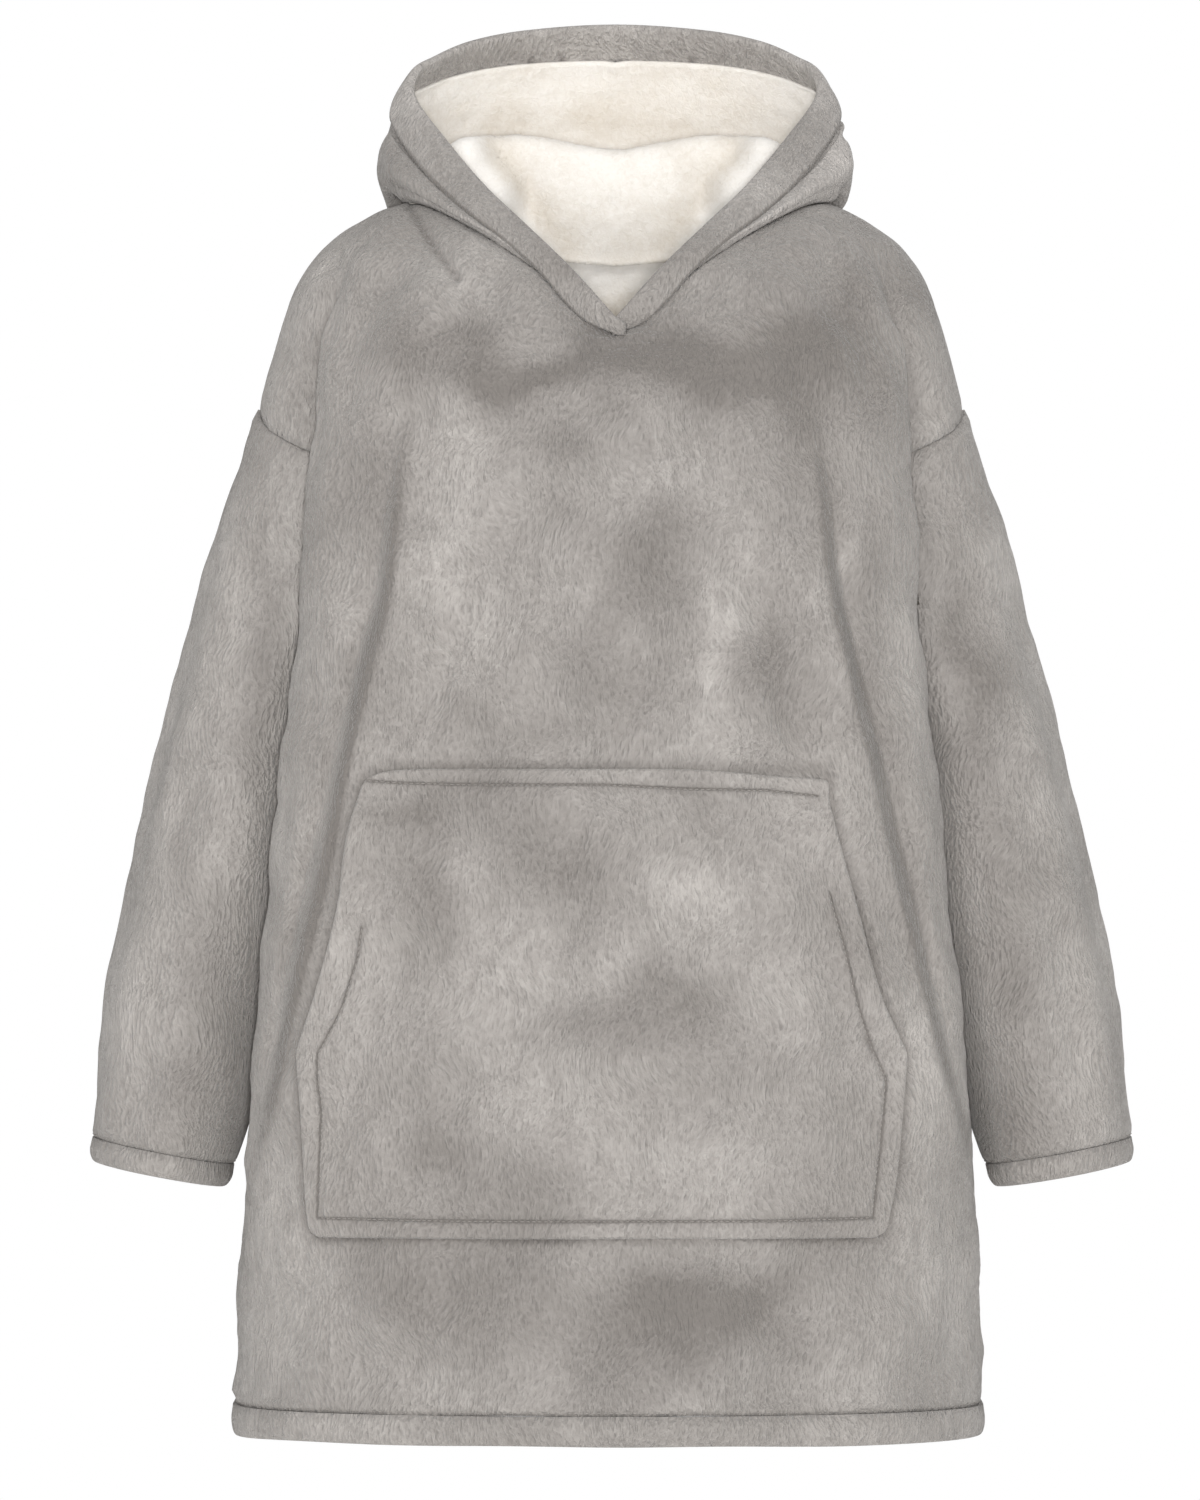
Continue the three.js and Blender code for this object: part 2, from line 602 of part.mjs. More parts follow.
function edgePoint(turn, edge) {
  return point(...[0, 1, 2].map((axis) => read(hoodEdge, 'turn', turn, edge, axis)));
}

// Soft relief of the neck stand as it shows through the opening: a groove and a roll on each side.
function standRelief(x, z) {
  const high = clamp01((z - standFoot) / standHeight);
  const swell = ({ low, top, width, depth }) => depth * bell(Math.abs(x) - mix(low, top, high), width);
  return swell(standFolds.groove) + swell(standFolds.roll);
}

// One column of the hood's right half, from the neck seam to the seam of the band.
function hoodColumn(turn, count, tip) {
  const neck = neckPoint(turn, 1);
  const pair = (place) => [0, 1].map((part) => read(hoodSections, 'turn', turn, place, part));
  const away = radians(turn);
  const out = point(Math.sin(away), -Math.cos(away), 0);
  const at = (outwards, up) => neck.clone().addScaledVector(out, outwards).add(point(0, 0, up));
  const lip = pair('lip');
  const dip = pair('dip');
  const bag = pair('bag');
  const swell = pair('swell');
  const tall = clamp01((lip[1] - lowStand) / (tallStand - lowStand));
  const path = [
    at(0, 0),
    at(lip[0] * 0.5 - 9 * tall, lip[1] * 0.45),
    at(lip[0] * mix(0.8, 1, tall) - 3 * tall, lip[1] * mix(0.75, 0.86, tall)),
    at(lip[0] + 4 * tall, lip[1]),
    at(mix(lip[0], dip[0], 0.6) + 3 * tall, mix(lip[1], dip[1], 0.4)),
    at(dip[0], dip[1]),
    at(mix(dip[0], bag[0], 0.45), mix(dip[1], bag[1], 0.75)),
    at(bag[0], bag[1]),
    at(mix(bag[0], swell[0], 0.85), mix(bag[1], swell[1], 0.3)),
    at(swell[0], swell[1]),
    edgePoint(turn, 'seam'),
  ];
  for (const p of path.slice(1, 4)) p.y += standRelief(p.x, p.z) * tall;
  const curve = new THREE.CatmullRomCurve3(path, false, 'centripetal');
  const start = mix(neckGap, tipGap, tip) / curve.getLength();
  const end = 1 - bandGap / curve.getLength();
  return Array.from({ length: count + 1 }, (_, k) => curve.getPointAt(mix(start, end, k / count)));
}

const hoodColumns = hoodBackColumns + frontColumns - hoodTip;

// Rows of the whole hood from its rim to the neck seam, over both halves, right half last.
function hoodGrid() {
  const turns = Array.from({ length: hoodBackColumns }, (_, i) => mix(180, foldTurn, i / hoodBackColumns));
  for (let i = frontColumns; i >= 0; i--) turns.push((foldTurn * i) / frontColumns);
  const paths = turns.map((turn, i) =>
    i <= hoodColumns
      ? hoodColumn(turn, hoodRows, 1 - ease((hoodColumns - i) / tipColumns)).reverse()
      : new Array(hoodRows + 1).fill(edgePoint(turn, 'seam')),
  );
  const bandRow = (share) => turns.map((turn) => edgePoint(turn, 'seam').lerp(edgePoint(turn, 'rim'), share));
  const cloth = Array.from({ length: hoodRows + 1 }, (_, j) => paths.map((path) => path[j].clone()));
  const half = [...bandShares.map(({ along }) => bandRow(along)), ...cloth];
  return half.map((row) => [...mirrored(row).reverse(), ...row.slice(1)]);
}

function addHood() {
  const grid = hoodGrid();
  const bandRows = bandShares.length;
  const centre = hoodColumns + hoodTip;
  const onHood = (j, i) => j >= bandRows && i >= hoodTip && i < grid[0].length - 1 - hoodTip;
  const seam = bandRows - 1;
  const stiff = (i) => 1 - ease((Math.min(i, grid[0].length - 1 - i) - hoodTip) / tipColumns);
  const pressed = (i) => mix(1, tipCloth, stiff(i));
  const smooth = (j, i) => j < seam || onHood(j, i);
  const common = { smooth, seam, flip: true, mirrorColumns: [0, grid[0].length - 1], stiff, calmPasses };
  for (const side of [1, -1]) {
    const cut = grid.map((row) => row.map((p) => p.clone()));
    for (const row of cut) row[centre].x = (side * layerGap) / 2;
    const kept = (j, i) => onHood(j, i) && (side > 0 ? i >= centre : i < centre);
    const taper = (j, i) => ({ outer: 0, inner: hoodCloth * pressed(i) });
    addWall(`hood_${side > 0 ? 'right' : 'left'}`, cut, fleece, { ...common, kept, taper });
  }
  const inset = hoodCloth + layerGap;
  const liningFaces = (j, i) => {
    const outer = hoodCloth * pressed(i) + layerGap;
    return { outer, inner: outer + hoodCloth * pressed(i) };
  };
  addWall('hood_lining', grid, sherpa, { ...common, kept: onHood, taper: liningFaces });
  const proud = (bandThickness - inset - hoodCloth) / 2;
  const bandFaces = bandShares.map(({ thick }) => {
    const spare = ((1 - thick) * bandThickness) / 2;
    return { outer: spare - proud, inner: bandThickness - proud - spare };
  });
  addWall('hood_band', grid, fleece, { ...common, kept: (j) => j < seam, taper: (j) => bandFaces[j] });
}

addPanel('front', true);
addPanel('back', false);
addSleeve('sleeve_right', 1);
addSleeve('sleeve_left', -1);
addHem();
addPocket();
addHood();

export default group;
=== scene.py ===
import math

import bpy
import numpy as np
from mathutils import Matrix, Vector


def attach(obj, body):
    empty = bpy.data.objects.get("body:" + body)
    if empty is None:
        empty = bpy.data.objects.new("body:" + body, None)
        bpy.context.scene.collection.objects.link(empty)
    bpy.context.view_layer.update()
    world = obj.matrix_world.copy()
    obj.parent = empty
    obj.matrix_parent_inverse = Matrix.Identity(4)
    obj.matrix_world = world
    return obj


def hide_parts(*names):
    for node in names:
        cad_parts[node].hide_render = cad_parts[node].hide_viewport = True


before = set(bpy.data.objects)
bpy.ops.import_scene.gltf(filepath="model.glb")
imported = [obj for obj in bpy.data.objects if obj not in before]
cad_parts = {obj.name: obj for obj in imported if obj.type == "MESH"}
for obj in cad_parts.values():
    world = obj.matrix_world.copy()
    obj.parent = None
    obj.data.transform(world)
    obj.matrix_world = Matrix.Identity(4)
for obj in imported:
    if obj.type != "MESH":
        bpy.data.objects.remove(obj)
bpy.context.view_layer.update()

mm = 0.001               # the garment's own sizes are in millimetres
farAway = 1e3            # a distance at which a crease or groove has no more effect

# Camera: level, in front of the garment, far off as a product camera is
cameraSetup = {
    "distance": 8.0,
    "centreX": -0.0058,
    "centreZ": -0.397,
    "frameHeight": 1.0935,   # what the picture's height takes in at the garment's middle
    "sensor": 36.0,
}
cameraData = bpy.data.cameras.new("camera")
cameraData.sensor_width = cameraSetup["sensor"]
cameraData.lens = cameraSetup["sensor"] * cameraSetup["distance"] / cameraSetup["frameHeight"]
cameraData.clip_end = 100.0
camera = bpy.data.objects.new("camera", cameraData)
camera.location = (cameraSetup["centreX"], -cameraSetup["distance"], cameraSetup["centreZ"])
camera.rotation_euler = (math.radians(90), 0, 0)
bpy.context.scene.collection.objects.link(camera)
bpy.context.scene.camera = camera
print("camera placed")


# Small maths

def tableOf(columns, *rows):
    # rows of values under named columns; the last columns may be left out
    names = columns.split()
    return [dict(zip(names, row)) for row in rows]


def mix(a, b, t):
    return a + (b - a) * t


def ease(t):
    t = np.clip(t, 0.0, 1.0)
    return t * t * (3 - 2 * t)


def bell(distance, width):
    return np.exp(-((distance / width) ** 2))


def readTable(table, key, column, at):
    # a smooth value from one column, for every height or angle in at
    rows = sorted(table, key=lambda row: row[key])
    xs = np.array([row[key] for row in rows], float)
    ys = np.array([row[column] for row in rows], float)
    slopes = np.empty_like(ys)
    slopes[0] = (ys[1] - ys[0]) / (xs[1] - xs[0])
    slopes[-1] = (ys[-1] - ys[-2]) / (xs[-1] - xs[-2])
    wide = (xs[2:] - xs[:-2]).reshape(-1, *[1] * (ys.ndim - 1))
    slopes[1:-1] = (ys[2:] - ys[:-2]) / wide
    at = np.clip(np.asarray(at, float), xs[0], xs[-1])
    i = np.clip(np.searchsorted(xs, at, side="right") - 1, 0, len(xs) - 2)
    span = xs[i + 1] - xs[i]
    t = (at - xs[i]) / span
    if ys.ndim > 1:
        t = t[..., None]
        span = span[..., None]
    start = ys[i] * (1 + 2 * t) * (1 - t) ** 2 + ys[i + 1] * t * t * (3 - 2 * t)
    return start + span * (slopes[i] * t * (1 - t) ** 2 - slopes[i + 1] * t * t * (1 - t))


def softNoise(points, size, seed, waves=16):
    # a smooth random field over points, with bumps about size across, mostly within -1 and 1
    rng = np.random.default_rng(seed)
    directions = rng.normal(size=(waves, 3))
    directions /= np.linalg.norm(directions, axis=1)[:, None]
    pace = 2 * np.pi / size * rng.uniform(0.6, 1.5, waves)
    phases = rng.uniform(0, 2 * np.pi, waves)
    angles = points @ (directions * pace[:, None]).T + phases
    return np.sin(angles).sum(-1) / math.sqrt(waves / 2) * 0.7


def layeredNoise(points, *layers):
    # several soft fields added up; each layer is a height, a size and a seed
    flat = points.reshape(-1, 3)
    relief = sum(height * softNoise(flat, size, seed) for height, size, seed in layers)
    return relief.reshape(points.shape[:-1])


def normalsOf(grid, closed, outwards):
    # unit normals of a grid of points; outwards is a sign
    if closed:
        across = np.roll(grid, -1, 1) - np.roll(grid, 1, 1)
    else:
        across = np.gradient(grid, axis=1)
    down = np.gradient(grid, axis=0)
    normals = np.cross(down, across) * outwards
    length = np.linalg.norm(normals, axis=2)
    small = length < 1e-9
    normals[small] = (0, 0, 1)
    length[small] = 1
    return normals / length[..., None]


def smoothGrid(grid, closed, passes, weight=None):
    # evens out creases that are sharper than cloth; weight says where
    for _ in range(passes):
        before = grid.copy()
        middle = before.copy()
        middle[1:-1] = (before[:-2] + before[2:]) / 2
        if closed:
            sides = (np.roll(before, 1, 1) + np.roll(before, -1, 1)) / 2
        else:
            sides = before.copy()
            sides[:, 1:-1] = (before[:, :-2] + before[:, 2:]) / 2
        even = (middle + sides) / 2
        grid = mix(before, even, 0.5 if weight is None else 0.5 * weight[..., None])
    return grid


def evenNormals(normals, closed, passes=8):
    even = smoothGrid(normals, closed, passes)
    return even / np.linalg.norm(even, axis=2)[..., None]


def freeRows(count):
    # 1 for rows that may move, 0 for the two at each end, which are seams
    free = np.ones((count, 1))
    free[:2] = 0
    free[-2:] = 0
    return free


# Mesh making

def makePiece(name, vertices, faces, finishes, slots=None):
    # one mesh object from points in millimetres; slots is a finish number for each face
    mesh = bpy.data.meshes.new(name)
    faceLists = faces if isinstance(faces, list) else faces.tolist()
    mesh.from_pydata((np.asarray(vertices, float) * mm).tolist(), [], faceLists)
    for finish in finishes:
        mesh.materials.append(finish)
    if slots is not None:
        mesh.polygons.foreach_set("material_index", np.asarray(slots, np.int32))
    mesh.polygons.foreach_set("use_smooth", np.full(len(mesh.polygons), True))
    mesh.update()
    piece = bpy.data.objects.new(name, mesh)
    bpy.context.scene.collection.objects.link(piece)
    return piece


def shellFaces(rows, count, kept, closed):
    # faces of a two-sided shell over the kept cells, and which side each is on: 0 outer, 1 inner, 2 edge
    cells = count if closed else count - 1
    kept = kept[: rows - 1, :cells]
    j, i = np.nonzero(kept)
    layer = rows * count

    def corner(dj, di):
        return (j + dj) * count + (i + di) % count

    a, b, c, d = corner(0, 0), corner(0, 1), corner(1, 1), corner(1, 0)
    outer = np.stack([a, d, c, b], 1)
    inner = np.stack([a, b, c, d], 1) + layer
    padded = np.pad(kept, 1)
    if closed:
        padded[:, 0] = padded[:, -2]
        padded[:, -1] = padded[:, 1]
    faces = [outer, inner]
    sides = [np.zeros(len(outer), int), np.ones(len(inner), int)]
    for dj, di, first, second in ((-1, 0, a, b), (1, 0, c, d), (0, -1, d, a), (0, 1, b, c)):
        free = ~padded[j + 1 + dj, i + 1 + di]
        p, q = first[free], second[free]
        faces.append(np.stack([p, q, q + layer, p + layer], 1))
        sides.append(np.full(free.sum(), 2))
    return np.concatenate(faces), np.concatenate(sides)


def giveNapAndShade(piece, tones):
    # how the nap lies at each point, with painted shade and painted highlights added in places; darker below
    # 0 and lighter above, which the finishes read
    layer = piece.data.attributes.new("napAndShade", "FLOAT", "POINT")
    layer.data.foreach_set("value", tones.reshape(-1).astype(np.float32))


def shellPiece(name, outer, inner, kept, closed, finishes, napsAndShade, innerNapsAndShade=None, mirrored=False):
    # a cloth shell; outer and inner are grids of points, finishes and nap tones with their painted shade are
    # for its two sides
    rows, count = outer.shape[:2]
    faces, sides = shellFaces(rows, count, kept, closed)
    if mirrored:
        faces = faces[:, ::-1]
    vertices = np.concatenate([outer.reshape(-1, 3), inner.reshape(-1, 3)])
    used, places = np.unique(faces, return_inverse=True)
    faces = places.reshape(faces.shape)
    piece = makePiece(name, vertices[used], faces, finishes, np.where(sides == 1, len(finishes) - 1, 0))
    within = napsAndShade if innerNapsAndShade is None else innerNapsAndShade
    giveNapAndShade(piece, np.concatenate([napsAndShade.reshape(-1), within.reshape(-1)])[used])
    return piece


def finishPiece(piece, slotName, *nodes):
    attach(piece, "root")
    if nodes:
        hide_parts(*nodes)
    return piece


# Finishes

def newMaterial(name):
    material = bpy.data.materials.new(name)
    material.use_nodes = True
    nodes = material.node_tree.nodes
    nodes.clear()
    output = nodes.new("ShaderNodeOutputMaterial")
    shader = nodes.new("ShaderNodeBsdfPrincipled")
    material.node_tree.links.new(shader.outputs["BSDF"], output.inputs["Surface"])
    return material, nodes, material.node_tree.links, shader


def noiseNode(nodes, links, vector, scale, detail, roughness, distortion=0.0):
    noise = nodes.new("ShaderNodeTexNoise")
    noise.inputs["Scale"].default_value = scale
    noise.inputs["Detail"].default_value = detail
    noise.inputs["Roughness"].default_value = roughness
    noise.inputs["Distortion"].default_value = distortion
    links.new(vector, noise.inputs["Vector"])
    return noise


def mathNode(nodes, links, operation, first, second):
    node = nodes.new("ShaderNodeMath")
    node.operation = operation
    for socket, value in zip(node.inputs, (first, second)):
        if isinstance(value, (int, float)):
            socket.default_value = value
        else:
            links.new(value, socket)
    return node.outputs[0]


def vectorNode(nodes, links, operation, first, second):
    node = nodes.new("ShaderNodeVectorMath")
    node.operation = operation
    for socket, value in zip(node.inputs, (first, second)):
        if isinstance(value, tuple):
            socket.default_value = value
        else:
            links.new(value, socket)
    return node.outputs[0]


def rampNode(nodes, links, factor, stops):
    ramp = nodes.new("ShaderNodeValToRGB")
    links.new(factor, ramp.inputs["Fac"])
    elements = ramp.color_ramp.elements
    while len(elements) < len(stops):
        elements.new(0.5)
    for element, (place, colour) in zip(elements, stops):
        element.position = place
        element.color = (*colour, 1)
    return ramp.outputs["Color"]


fleeceLook = {
    "dark": (0.185, 0.17, 0.157),      # nap brushed away from the light
    "middle": (0.296, 0.276, 0.259),
    "light": (0.43, 0.404, 0.381),     # nap brushed towards it
    "stops": (0.12, 0.5, 0.88),        # brightness at which each of these is reached
    "strokes": (460.0, 460.0, 190.0),  # short strokes of pile, longer up and down
    "clumps": (105.0, 105.0, 46.0),    # strokes that lean together
    "fibres": 1100.0,
    "patches": 11.0,
    "drift": 20.0,                     # pace at which the strokes wander
    "bend": 0.024,                     # and how far, in metres
    "brushedAndShaded": 1.05,                   # share of the placed nap and its painted shade in the brightness, and of the rest
    "weights": {"patches": 0.22, "clumps": 0.36, "strokes": 0.42, "fibres": 0.12},
    "reliefClumps": 0.4,
    "reliefFibres": 0.12,
    "reliefStrength": 1.0,
    "reliefDepth": 0.0034,
    "roughness": 0.95,
    "specular": 0.15,
    "sheen": 0.4,
    "sheenRoughness": 0.4,
    "sheenTint": (0.95, 0.93, 0.91),
}


def dressShader(nodes, links, shader, look, relief):
    # relief and sheen of a pile
    bump = nodes.new("ShaderNodeBump")
    bump.inputs["Strength"].default_value = look["reliefStrength"]
    bump.inputs["Distance"].default_value = look["reliefDepth"]
    links.new(relief, bump.inputs["Height"])
    links.new(bump.outputs["Normal"], shader.inputs["Normal"])
    shader.inputs["Roughness"].default_value = look["roughness"]
    shader.inputs["Specular IOR Level"].default_value = look["specular"]
    shader.inputs["Sheen Weight"].default_value = look["sheen"]
    shader.inputs["Sheen Roughness"].default_value = look["sheenRoughness"]


def napAndShadeOutput(nodes):
    napAndShade = nodes.new("ShaderNodeAttribute")
    napAndShade.attribute_name = "napAndShade"
    return napAndShade.outputs["Fac"]


def makeFleece():
    look = fleeceLook
    material, nodes, links, shader = newMaterial("fleece_nap")
    place = nodes.new("ShaderNodeTexCoord").outputs["Object"]
    drift = noiseNode(nodes, links, place, look["drift"], 0.0, 0.5)
    swirl = vectorNode(nodes, links, "SUBTRACT", drift.outputs["Color"], (0.5, 0.5, 0.5))
    swirl = vectorNode(nodes, links, "MULTIPLY", swirl, (look["bend"],) * 3)
    bent = vectorNode(nodes, links, "ADD", place, swirl)
    upright = vectorNode(nodes, links, "MULTIPLY", bent, look["strokes"])
    leaning = vectorNode(nodes, links, "MULTIPLY", bent, look["clumps"])
    parts = {
        "patches": noiseNode(nodes, links, place, look["patches"], 3.0, 0.6, 0.4).outputs["Fac"],
        "clumps": noiseNode(nodes, links, leaning, 1.0, 3.0, 0.6, 0.5).outputs["Fac"],
        "strokes": noiseNode(nodes, links, upright, 1.0, 1.0, 0.45, 0.2).outputs["Fac"],
        "fibres": noiseNode(nodes, links, place, look["fibres"], 2.0, 0.6).outputs["Fac"],
    }
    # brightness: the brushed nap with its painted shade and highlights, broken up by clumps, then all the
    # parts
    broken = mathNode(nodes, links, "ADD", parts["clumps"], 0.1)
    brushedAndShaded = mathNode(nodes, links, "MULTIPLY", napAndShadeOutput(nodes), broken)
    total = mathNode(nodes, links, "MULTIPLY", brushedAndShaded, look["brushedAndShaded"])
    for name, weight in look["weights"].items():
        centred = mathNode(nodes, links, "SUBTRACT", parts[name], 0.5)
        total = mathNode(nodes, links, "ADD", total, mathNode(nodes, links, "MULTIPLY", centred, weight))
    total = mathNode(nodes, links, "ADD", total, 0.5)
    tones = (look["dark"], look["middle"], look["light"])
    links.new(rampNode(nodes, links, total, list(zip(look["stops"], tones))), shader.inputs["Base Color"])
    fine = mathNode(nodes, links, "MULTIPLY", parts["fibres"], look["reliefFibres"])
    coarse = mathNode(nodes, links, "MULTIPLY", parts["clumps"], look["reliefClumps"])
    relief = mathNode(nodes, links, "ADD", parts["strokes"], fine)
    relief = mathNode(nodes, links, "ADD", relief, coarse)
    dressShader(nodes, links, shader, look, relief)
    shader.inputs["Sheen Tint"].default_value = (*look["sheenTint"], 1)
    return material


sherpaLook = {
    # the deepest tone, reached mainly under painted shade, as at the point of the neck
    "deep": (0.46, 0.41, 0.345),
    "shade": (0.66, 0.605, 0.53),
    "middle": (0.8, 0.765, 0.715),
    "light": (0.88, 0.86, 0.83),
    "stops": (0.0, 0.12, 0.4, 0.72),
    "curls": 260.0,
    "fibres": 900.0,
    "clouds": 26.0,
    "share": 0.4,          # of clouds, curls and nap with its painted shade alike in the brightness
    "reliefFibres": 0.3,
    "reliefStrength": 0.7,
    "reliefDepth": 0.0011,
    "roughness": 0.98,
    "specular": 0.1,
    "sheen": 0.3,
    "sheenRoughness": 0.5,
}


def makeSherpa():
    look = sherpaLook
    material, nodes, links, shader = newMaterial("sherpa_pile")
    place = nodes.new("ShaderNodeTexCoord").outputs["Object"]
    curls = noiseNode(nodes, links, place, look["curls"], 3.0, 0.6, 0.8).outputs["Fac"]
    fibres = noiseNode(nodes, links, place, look["fibres"], 2.0, 0.6).outputs["Fac"]
    clouds = noiseNode(nodes, links, place, look["clouds"], 2.0, 0.5).outputs["Fac"]
    total = mathNode(nodes, links, "MULTIPLY", clouds, look["share"])
    for part in (curls, napAndShadeOutput(nodes)):
        total = mathNode(nodes, links, "ADD", total, mathNode(nodes, links, "MULTIPLY", part, look["share"]))
    tones = (look["deep"], look["shade"], look["middle"], look["light"])
    links.new(rampNode(nodes, links, total, list(zip(look["stops"], tones))), shader.inputs["Base Color"])
    fine = mathNode(nodes, links, "MULTIPLY", fibres, look["reliefFibres"])
    dressShader(nodes, links, shader, look, mathNode(nodes, links, "ADD", curls, fine))
    return material


threadLook = {"colour": (0.24, 0.222, 0.205), "light": (0.34, 0.318, 0.296), "roughness": 0.8}


def makeThread():
    material, nodes, links, shader = newMaterial("sewing_thread")
    place = nodes.new("ShaderNodeTexCoord").outputs["Object"]
    twist = noiseNode(nodes, links, place, 2200.0, 1.0, 0.5).outputs["Fac"]
    links.new(rampNode(nodes, links, twist, [(0.3, threadLook["colour"]), (0.7, threadLook["light"])]),
              shader.inputs["Base Color"])
    shader.inputs["Roughness"].default_value = threadLook["roughness"]
    return material


fleece = makeFleece()
sherpa = makeSherpa()
thread = makeThread()
print("finishes made")


# Rows of stitches: short tonal threads that sink into the pile at both ends
stitchLook = {
    "pitch": 4.2,
    "length": 3.1,
    "radius": 0.36,
    "sides": 6,
    "along": (-1.0, -0.7, -0.25, 0.25, 0.7, 1.0),   # rings of each thread, from end to end
    "rise": 0.25,
    "sink": 0.7,
    "aboveSeam": 0.45,     # of a row's height
}


def makeStitches(name, line, outwards, lift=0.0):
    # line is a row of points on the cloth's face in millimetres, outwards the face's normals there
    gaps = np.linalg.norm(np.diff(line, axis=0), axis=1)
    reach = np.concatenate([[0], np.cumsum(gaps)])
    number = int(reach[-1] // stitchLook["pitch"])
    centres = (np.arange(number) + 0.5) * reach[-1] / number
    half = stitchLook["length"] / 2

    def pointAt(values, at):
        return np.stack([np.interp(at, reach, values[:, axis]) for axis in range(3)], -1)

    middle = pointAt(line, centres)
    along = pointAt(line, centres + half) - pointAt(line, centres - half)
    along /= np.linalg.norm(along, axis=1)[:, None]
    up = pointAt(outwards, centres)
    up -= along * (up * along).sum(1)[:, None]
    up /= np.linalg.norm(up, axis=1)[:, None]
    across = np.cross(along, up)
    sides = stitchLook["sides"]
    rings = []
    for share in stitchLook["along"]:
        height = lift + stitchLook["rise"] * (1 - share**2) - stitchLook["sink"] * share**2
        radius = stitchLook["radius"] * math.sqrt(1 - 0.85 * share**2)
        for k in range(sides):
            angle = 2 * math.pi * k / sides
            aside = across * math.cos(angle) + up * math.sin(angle)
            rings.append(middle + along * (half * share) + up * height + aside * radius)
    vertices = np.stack(rings, 1)
    ringCount = len(stitchLook["along"])
    pattern = []
    for r in range(ringCount - 1):
        for k in range(sides):
            after = (k + 1) % sides
            pattern.append([r * sides + k, r * sides + after, (r + 1) * sides + after, (r + 1) * sides + k])
    caps = [list(range(sides))[::-1], [(ringCount - 1) * sides + k for k in range(sides)]]
    faces = []
    for n in range(number):
        start = n * ringCount * sides
        faces += [[start + index for index in face] for face in pattern + caps]
    piece = makePiece(name, vertices.reshape(-1, 3), faces, [thread])
    return finishPiece(piece, "fleece")


def seamRow(grid, normals):
    # a closed row of points just above a tube's last row, and the way its cloth faces there
    line = mix(grid[-1], grid[-2], stitchLook["aboveSeam"])
    facing = normals[-2]
    return np.concatenate([line, line[:1]]), np.concatenate([facing, facing[:1]])


# Body: sections by height. half is the half width at the side fold, front and back are the depths,
# frontFold and backFold where the side folds lie from front to back, dent how far the arm presses in.
bodySections = tableOf(
    "z half front frontFold back backFold dent",
    (-60, 204, 100, 40, 88, 42, 0),
    (-110, 209, 118, 52, 106, 56, 4),
    (-180, 213, 136, 64, 122, 70, 12),
    (-236, 219, 146, 70, 131, 77, 18),
    (-292, 223, 152, 74, 138, 82, 21),
    (-369, 232, 160, 78, 146, 86, 20),
    (-434, 239, 165, 80, 152, 88, 18),
    (-499, 246, 170, 82, 158, 88, 15),
    (-580, 255, 177, 82, 166, 88, 11),
    (-650, 262, 183, 78, 174, 84, 5),
    (-725, 266.5, 188, 62, 181, 66, 0),
    (-800, 269.5, 192, 42, 187, 44, 0),
    (-895, 272, 197, 22, 193, 24, 0),
)
capSections = tableOf(
    "z outer frontStep backStep",
    (-60, 228, 0, 0),
    (-96, 241, 7, 5),
    (-148, 255, 14, 11),
    (-183, 264, 17, 14),
    (-292, 300, 20, 16),
)
# creases of the yoke beside the neck and on the shoulders, as seen from the front
neckCreases = tableOf(
    "top end width height",
    ((-128, -2), (-92, -70), 8, 2.0),
    ((-196, -20), (-204, -120), 9, -3.5),
    ((170, -8), (150, -70), 5, -2.2),
    ((204, -24), (206, -120), 8, -3.2),
    ((-60, -88), (-70, -140), 10, -1.8),
    ((70, -84), (82, -140), 12, -1.8),
)
neckTuck = [(-145, -1), (-130, -27), (-108, -57)]   # a crisp crease beside the neck
# heights of the body's rows at the front, the side fold, the shoulder line and the back
bodyRows = tableOf(
    "row front fold side back",
    (0, -150, -92, -74, -104),
    (1, -178, -137, -110, -150),
    (2, -208, -183, -148, -192),   # armhole seam
    (3, -240, -219, -196, -228),
    (4, -270, -256, -244, -264),
    (5, -300, -292, -292, -300),   # underarm
    (6, -362, -362, -362, -362),
    (13, -871, -871, -871, -871),  # top of the hem
)
neckSeam = tableOf(
    "turn place",
    (0, (0, -98, -97)),
    (12, (22, -94, -86)),
    (20, (38, -88, -71)),
    (27, (52, -81, -55)),
    (40, (76, -68, -37)),
    (55, (104, -46, -19)),
    (72, (136, -18, -2)),
    (90, (154, 10, 2)),
    (110, (140, 40, -6)),
    (130, (104, 58, -17)),
    (150, (62, 69, -28)),
    (180, (0, 74, -34)),
)
bodyCut = {
    "cloth": 5.0,          # fleece outside and sherpa inside
    "sectionPower": 2.3,
    "middle": 8.0,         # the shoulder line lies this far behind the middle
    "creaseTop": -52,
    "creaseFull": -130,
    "armhole": 2,          # row of the armhole seam at the side
    "underarm": 5,
    "hemRow": 13,
    "foldTurn": 74,        # where the side fold reaches the neck seam
    "yokeFlatness": 0.35,
    "frontColumns": 80,
    "foldColumns": 4,
    "capColumns": 15,
    "yokeRows": 36,
    "rowHeight": 4.6,
    "seamGap": 0.5,
    "neckShift": 5.5,
    "creaseDepth": 5.5,    # of the crease between the front and the shoulder cap
    "creaseSwell": 2.0,
    "hemTop": -871,
    "mmPerRow": 38,        # of the rows beside the armhole seam
    "tuckDepth": 3.2,
    "waves": ((1.5, 75, 11), (0.7, 34, 12), (0.25, 15, 13)),   # height, size and seed of the cloth's waves
}
# painted light and shade on the pile inside the body, by height: plain and lifted high up, painted shade
# deepening towards the point of the neck
insideLightAndShade = {"plain": 0.35, "deepening": 1.4, "top": -44, "reach": 44, "foot": -135, "footReach": 30}
bodySeams = {"side": (1.6, 4.5), "hem": (1.8, 3.5), "armhole": (2.0, 5)}   # depth and width of their grooves
